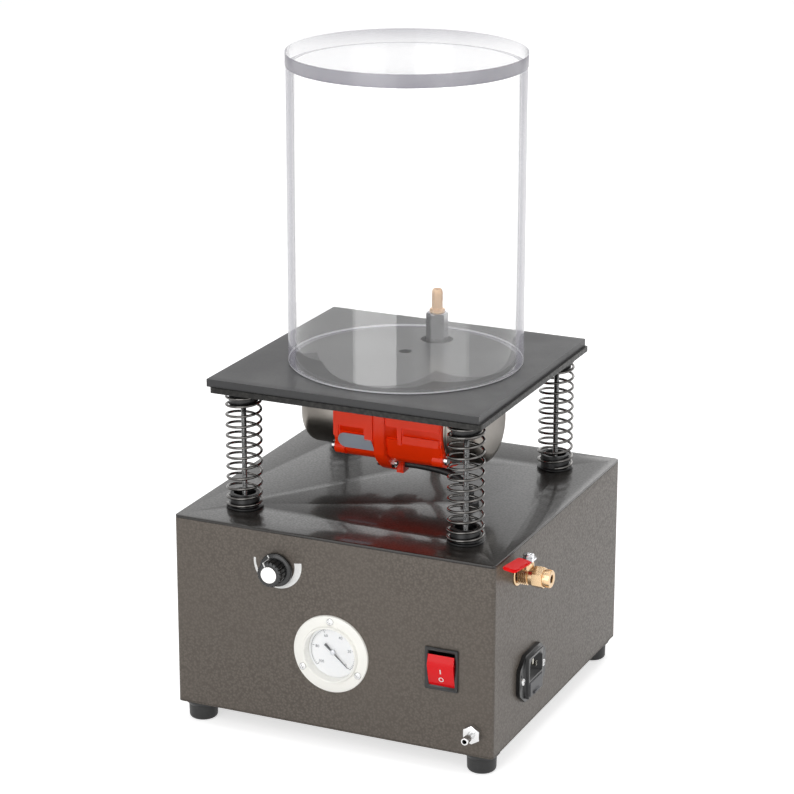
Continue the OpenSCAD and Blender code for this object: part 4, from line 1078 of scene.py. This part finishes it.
class CASTING_OT_valve(Maker, bpy.types.Operator):
    """Brass release valve with its red lever"""

    bl_idname = "casting.valve"
    bl_label = "Release valve"

    def make(self, colours, sizes):
        brass = metal("valve_brass", colours.brass, 0.26, scale=120, stain=0.2, deep=0.01)
        (y, z), stem = VALVE, RIGHT + 8
        place = on_right(y, z)
        rim = lathe("rim", eased([(0, 0), (8.7, 0), (8.7, 1.0), (8.2, 1.5), (0, 1.5)], 0.3), brass, place)
        ridges = [(0, 1.4)]
        for k in range(5):
            h = 2.0 + k * 1.5
            ridges += [(6.1, h), (6.9, h + 0.45), (6.9, h + 0.85), (6.1, h + 1.3)]
        body = lathe("barrel", [*ridges, (6.5, 9.9), (6.5, 13), (0, 13)], brass, place)
        collar = eased([(3, 20), (6.4, 20), (6.4, 25.4), (5.8, 26), (3.4, 26), (3, 25.6)], 0.25)
        collar = lathe("collar", collar, brass, place)
        for k in range(12):
            turned = place @ Matrix.Rotation(math.pi * k / 6, 4, "Z")
            collar = cut(collar, prism("notch", rect(1.0, 2.2, 0, 6.6), 22, 27, place=turned))
        bonnet = eased([(0, 3), (4.3, 3), (4.3, 9), (3.6, 10.2), (2.3, 10.2), (2.3, 11.6), (0, 11.6)], 0.4)
        bonnet = lathe("bonnet", bonnet, brass, standing(stem, y, z), 40)
        stub = lathe("stub", [(0, -20), (5, -20), (5, 0.5), (0, 0.5)], brass, place)
        elbow = lathe("elbow", [(0, -18), (2.75, -18), (2.75, 1), (0, 1)], brass,
                      facing((RIGHT - 14, y, z), (0, 0, 1), (0, 1, 0)))
        inner = prism("elbow", rect(12, 12, 1), -20, -11, brass, place, 0.5)
        parts = [rim, body, collar, bonnet, stub, elbow, inner, nut("hex", 14, 12.8, 20.6, brass, place, 3.2),
                 nut("back", 14, -5.5, -1.5, brass, place)]
        settle(join("valve_turned", *parts), "case", "valve_brass", "valve_body")
        self.lever(stem, y, z)

    def lever(self, stem, y, z):
        steel = metal("stem_steel", linear(214, 214, 216), 0.22)
        red = lacquer("lever_red", linear(224, 4, 8), linear(242, 12, 16), (260, 3), (0.12, 0.36), 0.1, (0.02, 0.1),
                      (260, 3), (0.08, 0.0001))
        base = z + 12.5
        end = y - low("valve_lever").y
        slope = math.atan2(4, end - 4.5)
        outline = swept(5.75, range(0, 181, 12)) + [(-5.75, -7), (5.75, -7)]
        strip = prism("strip", outline, 0, 1.2, steel, standing(stem, y, base), 0.3)
        length = end - 7.2
        tilted = standing(stem, y, base) @ standing(0, -4.5, 0) @ Matrix.Rotation(-slope, 4, "X")
        tilted = tilted @ Matrix.Rotation(math.radians(8), 4, "Y")
        grip = prism("grip", rect(10.8, length, 3, 0, -2.2 - length / 2), -0.6, 1.8, red, tilted, 0.7, 4)
        settle(join("lever_dipped", strip, grip), "valve_handle", "lever_red", "valve_lever")
        post = lathe("post", eased([(0, 0), (1.8, 0), (1.8, 16.4), (1.3, 16.6), (0, 16.6)], 0.2), steel,
                     standing(stem, y, z), 24)
        ball = lathe("ball", swept(5, range(-90, 91, 15)), steel, standing(stem, y, z), 24)
        top = nut("lock", 7, 13.7, 16.0, steel, standing(stem, y, z))
        settle(join("stem_nut", post, ball, top), "valve_handle", "screw_steel", "valve_stem")


class CASTING_OT_inlet(Maker, bpy.types.Operator):
    """Power inlet with its pins and fuse drawer"""

    bl_idname = "casting.inlet"
    bl_label = "Power inlet"

    def make(self, colours, sizes):
        black = plastic("inlet_plastic", linear(11, 11, 12), 0.34, coat=0.1)
        settle(refined("inlet_housing", "inlet_body", black, 0.45), "case", "inlet_plastic", "inlet_body")
        grey = plastic("drawer_plastic", linear(40, 41, 46), 0.35)
        settle(refined("drawer_front", "fuse_drawer", grey, 0.35), "drawer", "drawer_plastic", "fuse_drawer")
        paint(metal("pin_metal", linear(214, 210, 198), 0.2), "inlet_pins")
        paint(clear("fuse_glass", linear(220, 226, 226), 0.1), "fuse")


# ---- Sprung table --------------------------------------------------------------------------


class CASTING_OT_springs(Maker, bpy.types.Operator):
    """Four steel springs between their cups"""

    bl_idname = "casting.springs"
    bl_label = "Springs"

    def make(self, colours, sizes):
        steel = metal("spring_steel", linear(104, 102, 100), 0.16, scale=160, stain=0.5, deep=0.06)
        tree = coil_tree()
        wire = sizes.wire
        seat = CUP_RIM + 0.1 + wire / 2
        bottom, top = COVER + seat, TABLE - seat
        for side, x, y, phase in (("front_left", -REACH, -REACH, 200), ("front_right", REACH, -REACH, 160),
                                  ("back_left", -REACH, REACH, 20), ("back_right", REACH, REACH, 290)):
            spring = tree.build("coil_" + side, angle=60, Coil_Radius=SPRING_R - wire / 2, Wire_Radius=wire / 2,
                                Turns=sizes.turns, Bottom=bottom, Top=top, Phase=math.radians(phase),
                                Closing=0.56, Middle=(x, y, 0.0), Material=steel)
            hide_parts("spring_" + side)
            bottom * MM
            top * MM
            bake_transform(spring)


class CASTING_OT_cups(Maker, bpy.types.Operator):
    """Spring cups, guide rods and their nuts"""

    bl_idname = "casting.cups"
    bl_label = "Cups and rods"

    def make(self, colours, sizes):
        black = plastic("cup_plastic", linear(14, 14, 15), 0.34)

        def cup(h, bore):
            profile = [(bore, 0), (SPRING_R, 0), (SPRING_R, CUP_RIM), (10.7, CUP_RIM), (10.7, h), (8.2, h), (8.2, 2),
                       (bore, 2)]
            return lathe("cup", eased(profile, 0.35), black, steps=48)

        flip = Matrix.Rotation(math.pi, 4, "X")
        above = [standing(x, y, TABLE) @ flip for x, y in SPRINGS]
        settle(copies("cups_below", cup(11, 2.5), [standing(x, y, COVER) for x, y in SPRINGS], black), "case",
               "cup_plastic", "lower_cups")
        settle(copies("cups_above", cup(10.5, 2.0), above, black), "table", "cup_plastic", "upper_cups")
        steel = metal("rod_steel", linear(132, 132, 132), 0.26, (1, 1, 6), 300)
        thread = []
        for k in range(112):
            z = 128.3 + k * 0.9
            thread += [(1.75, z), (2.0, z + 0.45)]
        rod = lathe("rod", [(0, 128), (1.75, 128), *thread, (2, 229.5), (2, MAT - 2), (3.9, MAT), (0, MAT)], steel,
                    steps=20, angle=40)
        rods = copies("rods_threaded", rod, [standing(x, y, 0) for x, y in SPRINGS], steel, angle=40)
        settle(rods, "table", "rod_steel", "guide_rods")
        paint(metal("nut_steel", linear(196, 196, 198), 0.28), "rod_nuts")


class CASTING_OT_table(Maker, bpy.types.Operator):
    """Table plate with its hand-cut rubber mat"""

    bl_idname = "casting.table"
    bl_label = "Table and mat"

    def make(self, colours, sizes):
        finish = hammertone("table_paint", colours.table, 1.6, 0.3, 0.7, spread=0.6)
        settle(refined("plate_sheet", "table_plate", finish, 0.5), "table", "table_paint", "table_plate")
        self.mat(colours, sizes)

    def mat(self, colours, sizes):
        """A slab cut a little out of square; its surface waves slightly and its rim is a knife cut."""
        bm = bmesh.new()
        corners = [Vector(c) for c in ((-108, -103.5), (103, -103.5), (103, 103.5), (-106, 104))]
        n = 56
        sheets = []
        for side in (0, 1):
            rows = []
            for j in range(n + 1):
                row = []
                for i in range(n + 1):
                    u, v = i / n, j / n
                    p = (corners[0] * (1 - u) + corners[1] * u) * (1 - v) + (corners[3] * (1 - u) + corners[2] * u) * v
                    edge = min(u, v, 1 - u, 1 - v)
                    wave = math.sin(p.x * 0.043 + 1.3) * math.sin(p.y * 0.051)
                    wave += 0.5 * math.sin(p.x * 0.11 + p.y * 0.07)
                    fade = min(1, edge * 8) if side else 0
                    outside = max(0.0, min(1.0, (p.length - 88) / 12))
                    z = JAR - 0.3 * (edge < 0.001) - sizes.sag * (0.5 + 0.4 * wave) * fade * outside if side else MAT
                    row.append(bm.verts.new((p.x, p.y, z)))
                rows.append(row)
            sheets.append(rows)
        under, over = sheets
        for rows in sheets:
            for j in range(n):
                for i in range(n):
                    bm.faces.new((rows[j][i], rows[j][i + 1], rows[j + 1][i + 1], rows[j + 1][i]))
        for k in range(n):
            for a, b in (((0, k), (0, k + 1)), ((n, k), (n, k + 1)), ((k, 0), (k + 1, 0)), ((k, n), (k + 1, n))):
                bm.faces.new((under[a[0]][a[1]], under[b[0]][b[1]], over[b[0]][b[1]], over[a[0]][a[1]]))
        f = Finish("mat_rubber")
        grain = f.noise(520, 4, 0.65)
        clouds = f.noise(16, 4, 0.6)
        rub = f.noise(60, 3, 0.6, where=f.stretch(0.3, 1, 1))
        tone = f.blend(f.share(clouds, 0.35, 0.7), tinted(colours.mat, 0.85), tinted(colours.mat, 1.2))
        f.set(Base_Color=f.blend(f.share(rub, 0.55, 0.75) * 0.25, tone, tinted(colours.mat, 1.7)),
              Roughness=grain * 0.1 + f.share(clouds, 0.3, 0.7) * 0.12 + 0.26, Specular_IOR_Level=0.35)
        f.bump(grain * 0.08 + rub, 0.08, 0.0002)
        mat = as_object(bm, "mat_sheet", f.material, 40)
        for r, spot in ((12, PORT), (4.8, MAT_HOLE)):
            bore = [(0, MAT - 1), (r, MAT - 1), (r, JAR + 1), (0, JAR + 1)]
            mat = cut(mat, lathe("hole", bore, f.material, standing(*spot, 0), 48))
        settle(mat, "table", "mat_rubber", "rubber_mat")


class CASTING_OT_port(Maker, bpy.types.Operator):
    """Vacuum port: steel coupling with a sintered brass filter"""

    bl_idname = "casting.port"
    bl_label = "Vacuum port"

    def make(self, colours, sizes):
        steel = metal("coupling_steel", linear(150, 150, 153), 0.2, (1, 1, 0.08), 260, 0.5)
        place = standing(*PORT, 0)
        top = MAT + 27
        neck = lathe("neck", [(4.1, TABLE - 20), (6.5, TABLE - 20), (6.5, MAT + 1), (4.1, MAT + 1)], steel, place, 40)
        settle(join("coupling_hex", neck, nut("hex", 14.5, MAT, top, steel, place, 4.1)), "table", "coupling_steel",
               "port_coupling")
        f = Finish("filter_bronze")
        grains = f.cells(2100)
        f.set(Base_Color=f.blend(f.share(grains, 0.2, 0.7), linear(240, 204, 160), linear(208, 160, 112)),
              Metallic=0.4, Roughness=grains * 0.2 + 0.35)
        f.bump(1 - grains, 0.5, 0.0002)
        profile = [(2.2, top - 8), (4.1, top - 8), (4.1, top + 15.5), (3.4, top + 18), (2.2, top + 18)]
        body = lathe("filter", eased(profile, 0.7), f.material, place, 40)
        body = cut(body, prism("slot", rect(20, 1.1), top + 9.5, top + 20, place=place))
        settle(join("filter_sintered", body, nut("hex", 10, top, top + 3, f.material, place, 3.0)), "table",
               "filter_bronze", "port_filter")
        paint(metal("tail_brass", colours.brass, 0.3), "port_tail")


class CASTING_OT_motor(Maker, bpy.types.Operator):
    """Vibration motor: two enamelled castings, stainless covers and their screws"""

    bl_idname = "casting.motor"
    bl_label = "Vibration motor"

    AXIS = 202.5

    def make(self, colours, sizes):
        red = lacquer("motor_red", colours.red, tinted(colours.red, 0.9), (95, 2), (0.1, 0.26), 0.22, (0.08, 0.08),
                      (900, 3), (0.1, 0.00012))
        self.casting("left", "motor_housing_left", red, self.left_pads(red))
        self.casting("right", "motor_housing_right", red, self.right_pads(red))
        self.plate()
        self.covers()
        steel = metal("bolt_steel", linear(222, 222, 222), 0.2)
        paint(steel, "motor_bolts", "motor_bearings")
        paint(metal("stator_steel", linear(150, 130, 110), 0.4), "motor_stator")
        paint(metal("rotor_steel", linear(120, 120, 122), 0.35), "motor_rotor", "eccentric_weights")

    def bar(self, outline, x0, x1, red, bevel=1.0):
        """A cast pad: its outline in Y and Z from the motor's axis, along X."""
        return prism("pad", outline, x0, x1, red, lying(0, 0, self.AXIS), bevel, 3)

    FACE = [(-34.6, -8), (-31.2, -22.5), (-28, -26), (-24, -29), (-12, -33), (0, -33), (0, -8)]

    def left_pads(self, red):
        strip = [(-35.6, -4), (-35.6, 13.2), (-20, 13.2), (-20, -4)]
        step = [(-35.2, -13), (-35.2, 0), (-20, 0), (-20, -13)]
        return [self.bar(strip, -40.8, -8, red), self.bar(self.FACE, -40.8, -8, red, 1.2),
                self.bar(step, -16.5, -8, red), self.bar(step, -40.9, -35.5, red)]

    def right_pads(self, red):
        strip = [(-35.6, 0.5), (-35.6, 13.2), (-20, 13.2), (-20, 0.5)]
        block = [(-35.0, -13), (-35.0, 4), (-20, 4), (-20, -13)]
        ledge = [(-34.6, -13), (-34.6, -4), (-20, -4), (-20, -13)]
        return [self.bar(strip, 1, 44.8, red), self.bar(self.FACE, 1, 44.8, red, 1.2),
                self.bar(block, 10, 15, red, 1.2), self.bar(ledge, 13, 44.8, red, 1.6)]

    def casting(self, side, node, red, pads):
        body = refined("casting", node, red, 0.6)
        settle(join("casting_" + side, body, *pads), "table", "motor_red", node)

    def plate(self):
        """The blank rating plate, flat on the slanted face of the left casting."""
        blank = metal("plate_blank", linear(186, 194, 206), 0.35, (0.2, 1, 1), 300, 0.3, share=0.5)
        out = Vector((0, -14.5, -3.4)).normalized()
        mid = Vector((-22.5, -32.95, self.AXIS - 15)) + out * 0.12
        outline = swept(6, range(90, 271, 15), -9) + [(14, -6), (11, 6)]
        piece = prism("rating_plate", outline, 0, 0.6, blank, facing(mid, out), 0.15, 2)
        settle(piece, "table", "motor_stainless")

    def covers(self):
        f = Finish("motor_stainless")
        brush = f.noise(260, 3, 0.6, where=f.stretch(0.04, 1, 1))
        stain = f.noise(40, 3)
        f.set(Base_Color=f.blend(f.share(stain, 0.4, 0.8) * 0.3, linear(138, 133, 127), linear(112, 108, 102)),
              Metallic=1.0, Roughness=brush * 0.14 + 0.24)
        f.bump(brush, 0.1, 0.00008)
        for side, x, length, turn in (("left", -41, -41 - low("motor_cover_left").x, -1),
                                      ("right", 45, high("motor_cover_right").x - 45, 1)):
            arc, inner = swept(9, range(0, 91, 9), 20, length - 9), swept(7.8, range(90, -1, -9), 20, length - 9)
            place = facing((x, 0, self.AXIS), (turn, 0, 0))
            profile = [*arc, (0, length), (0, length - 1.2), *inner, (27.8, 0.05), (31, 0.05), (31.2, 0.4),
                       (31, 1.3), (29.6, 1.5), (29, 2.2)]
            cover = lathe("cover", profile, f.material, place, 96, 30)
            settle(join("end_cover_" + side, cover), "table", "motor_stainless", "motor_cover_" + side)


class CASTING_OT_jar(Maker, bpy.types.Operator):
    """Clear jar: a tube with a thick lid glued on"""

    bl_idname = "casting.jar"
    bl_label = "Jar"

    def make(self, colours, sizes):
        low_corner, high_corner = low("jar_tube"), high("jar_tube")
        x, r = (low_corner.x + high_corner.x) / 2, (high_corner.x - low_corner.x) / 2
        top = high_corner.z
        acrylic = clear("jar_acrylic", tinted(colours.acrylic, 2.2), edge=0.5, start=0.6, full=0.72)
        # The bore takes the acrylic at half its tone: painted shade that draws the dark line along the inner wall's
        # edge
        inner = clear("jar_bore", tinted(colours.acrylic, 0.5), edge=0.9, start=0.84)
        # The saw-cut bottom rim is frosted white, and its white also paints the bright line that light makes along the
        # glass rim
        sawn_rim_highlight = clear("jar_cut_edge", linear(240, 240, 244), edge=0.9, start=-1.0, full=0.0)
        place = standing(x, 0, 0)
        tube = lathe("tube", eased([(r - 5, JAR + 0.05), (r, JAR + 0.05), (r, JAR + 1.3), (r, top - 0.06),
                                    (r - 5, top - 0.06)], 0.5, 3), acrylic, place, 160)
        self.edged(tube, inner, lambda p: self.out(p, x) < r - 4.4)
        self.edged(tube, sawn_rim_highlight, lambda p: p.center.z < (JAR + 1.3) * MM and self.out(p, x) > r - 0.9)
        settle(join("jar_cylinder", tube), "jar", "jar_acrylic", "jar_tube")
        lid = lathe("lid", eased([(0, top), (r + 0.5, top), (r + 0.5, top + 10), (0, top + 10)], 0.5, 3),
                    clear("lid_acrylic", tinted(colours.acrylic, 2.0), 0.2, 0.8, 0.8), place, 160)
        self.edged(lid, clear("lid_edge", tinted(colours.acrylic, 1.35), 0.8), lambda p: abs(p.normal.z) < 0.3)
        settle(join("jar_top", lid), "jar", "lid_acrylic", "jar_lid")

    def out(self, face, x):
        """How far a face of the jar lies from the jar's axis, in millimetres."""
        return math.hypot(face.center.x / MM - x, face.center.y / MM)

    def edged(self, piece, material, chosen):
        """The faces that chosen picks take another finish, such as the lid's turned side, the bore's painted shade, or
        the saw-cut rim with its painted highlight.
        """
        piece.data.materials.append(material)
        for p in piece.data.polygons:
            if chosen(p):
                p.material_index = len(piece.data.materials) - 1


class CASTING_OT_lines(Maker, bpy.types.Operator):
    """Vacuum hose and motor cable between case and table"""

    bl_idname = "casting.lines"
    bl_label = "Hose and cable"

    def make(self, colours, sizes):
        top = COVER + 2
        f = Finish("hose_clear")
        haze = f.noise(50, 3)
        f.set(Base_Color=f.blend(haze, linear(206, 204, 196), linear(226, 225, 219)), Roughness=haze * 0.15 + 0.25,
              Coat_Weight=0.4, Coat_Roughness=0.1)
        tail = TABLE - 22
        x, y = PORT
        route = [(x, y, top), (x, y, top + 10), (x + 5, y, (top + tail) / 2), (x, y, tail - 10), (x, y, tail)]
        self.line("hose_sprung", "vacuum_hose", route, HOSE_R, f.material, "hose_clear", "medium")
        z = 166.5
        route = [(6, -8, z), (16, -8, z), (30, -8.5, z - 0.6), (42, -9.5, z - 2.2), (52, -12, z - 5),
                 (*CABLE, top + 8), (*CABLE, top)]
        black = rubber("wire_black", linear(26, 26, 27), 0.45)
        self.line("cable_sprung", "motor_cable", route, 2.7, black, "wire_black", "limp")

    def line(self, name, node, route, radius, material, slot, stiffness):
        piece, path = threaded_line(name, route, radius, material)
        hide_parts(node)
        x, y = route[-1][:2]
        x * MM
        y * MM
        (COVER + 2) * MM
        x * MM
        y * MM
        (COVER + 17) * MM
        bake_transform(piece)


class CASTING_OT_inside(Maker, bpy.types.Operator):
    """Pump, speed control board, manifold, hoses and wiring inside the case"""

    bl_idname = "casting.inside"
    bl_label = "Inside"

    def make(self, colours, sizes):
        cast = metal("pump_motor", linear(150, 152, 155), 0.45, scale=200, deep=0.3, share=0.8)
        paint(cast, "pump_motor")
        paint(metal("pump_head", linear(176, 178, 181), 0.4, scale=200, deep=0.3), "pump_head")
        paint(rubber("pump_rubber", linear(34, 34, 35)), "pump_feet")
        paint(plastic("fan_plastic", linear(52, 52, 54), 0.4), "pump_fan")
        f = Finish("board_green")
        tracks = f.noise(180, 2, where=f.stretch(1, 0.2, 1))
        f.set(Base_Color=f.blend(f.share(tracks, 0.48, 0.52), linear(30, 84, 48), linear(52, 112, 66)),
              Roughness=tracks * 0.1 + 0.35)
        paint(f.material, "control_board")
        paint(metal("manifold_brass", colours.brass, 0.35), "manifold")
        self.hoses()
        self.wires()

    def hoses(self):
        soft = rubber("hose_soft", linear(204, 202, 196), 0.35, dusty=1.1)
        back, front = -14, -50
        top = COVER + 2
        routes = (
            [(*PORT, top), (*PORT, 130), (10, 48, 114), (32, 26, 98), (52, 10, 78), (59, 6, 58), (58, 4, 44),
             (56, -2, 39.5), (56, back, 39.5)],
            [(-46, 17, 116), (-46, 5, 116), (-40, -8, 106), (-22, -14, 80), (5, -8, 56), (28, 2, 43), (38, 0, 39.5),
             (38, back, 39.5)],
            [(0, -86, 59), (0, -78, 59), (6, -69, 57), (20, -64, 50), (32, -61, 43), (38, -58, 39.5),
             (38, front, 39.5)],
            [(111, -82.8, 107.5), (111, -82.8, 98), (107, -84, 82), (95, -81, 60), (83, -72, 46), (76, -62, 41),
             (74, -56, 39.5), (74, front, 39.5)],
            [(110.5, -104, 18.3), (110.5, -96, 18.3), (104, -86, 17), (88, -76, 17), (70, -70, 22), (59, -66, 33),
             (56, -58, 39.5), (56, front, 39.5)])
        parts = [threaded_line("hose", r, HOSE_R, soft, 12, 4)[0] for r in routes]
        settle(join("hoses_inside", *parts), "case", "hose_clear", "hoses")

    def wires(self):
        black = rubber("wire_inside", linear(30, 30, 31), 0.45)
        y, z = -81.5, 21.1
        routes = (
            (2.7, [(*CABLE, COVER + 2), (*CABLE, 132), (50, -22, 112), (22, -38, 88), (-8, -56, 66), (-30, -72, 50),
                   (-40, y, 38), (-40, y, z)]),
            (1.6, [(95, -50.3, 45.5), (88, -50.3, 45.5), (84, -56, 54), (81, -70, 59), (81, -84, 62), (81, -95, 62)]),
            (1.6, [(91, -95, 55.5), (91, -88, 55.5), (80, -84, 40), (40, -92, 14), (0, -97, 10), (-30, -98, 18),
                   (-48, -93, 32), (-54, y, 34), (-54, y, z)]),
            (1.6, [(-42.3, -117, 103.5), (-42.3, -117, 95), (-48, -113, 82), (-72, -102, 60), (-90, -90, 44),
                   (-94, y, 34), (-94, y, z)]),
            (1.6, [(-86, y, z), (-86, y, 32), (-84, -70, 44), (-70, -40, 52), (-40, -12, 54), (-14, -4, 54),
                   (-5, 4, 54), (-5, 14, 54)]))
        parts = [threaded_line("wire", route, r, black, 10, 4)[0] for r, route in routes]
        settle(join("wires_inside", *parts), "case", "wire_black", "wiring")


OPERATORS = (CASTING_OT_stage, CASTING_OT_case, CASTING_OT_feet, CASTING_OT_knob, CASTING_OT_gauge, CASTING_OT_switch,
             CASTING_OT_nipple, CASTING_OT_valve, CASTING_OT_inlet, CASTING_OT_springs, CASTING_OT_cups,
             CASTING_OT_table, CASTING_OT_port, CASTING_OT_motor, CASTING_OT_jar, CASTING_OT_lines, CASTING_OT_inside)


class CASTING_PT_pieces(bpy.types.Panel):
    """Sizes, colours and the pieces of the casting machine"""

    bl_label = "Casting machine"
    bl_idname = "CASTING_PT_pieces"
    bl_space_type = "VIEW_3D"
    bl_region_type = "UI"
    bl_category = "Casting"

    def draw(self, context):
        for group in (context.scene.casting_colours, context.scene.casting_sizes):
            column = self.layout.column(align=True)
            for name in group.__annotations__:
                column.prop(group, name)
        for operator in OPERATORS:
            self.layout.operator(operator.bl_idname)


CLASSES = (CastingColours, CastingSizes, *OPERATORS, CASTING_PT_pieces)


def register():
    for cls in CLASSES:
        bpy.utils.register_class(cls)
    bpy.types.Scene.casting_colours = PointerProperty(type=CastingColours)
    bpy.types.Scene.casting_sizes = PointerProperty(type=CastingSizes)


def unregister():
    del bpy.types.Scene.casting_sizes
    del bpy.types.Scene.casting_colours
    for cls in reversed(CLASSES):
        bpy.utils.unregister_class(cls)


def main():
    register()
    for operator in OPERATORS:
        group, name = operator.bl_idname.split(".")
        getattr(getattr(bpy.ops, group), name)()
    bpy.context.view_layer.update()


if __name__ == "__main__":
    main()
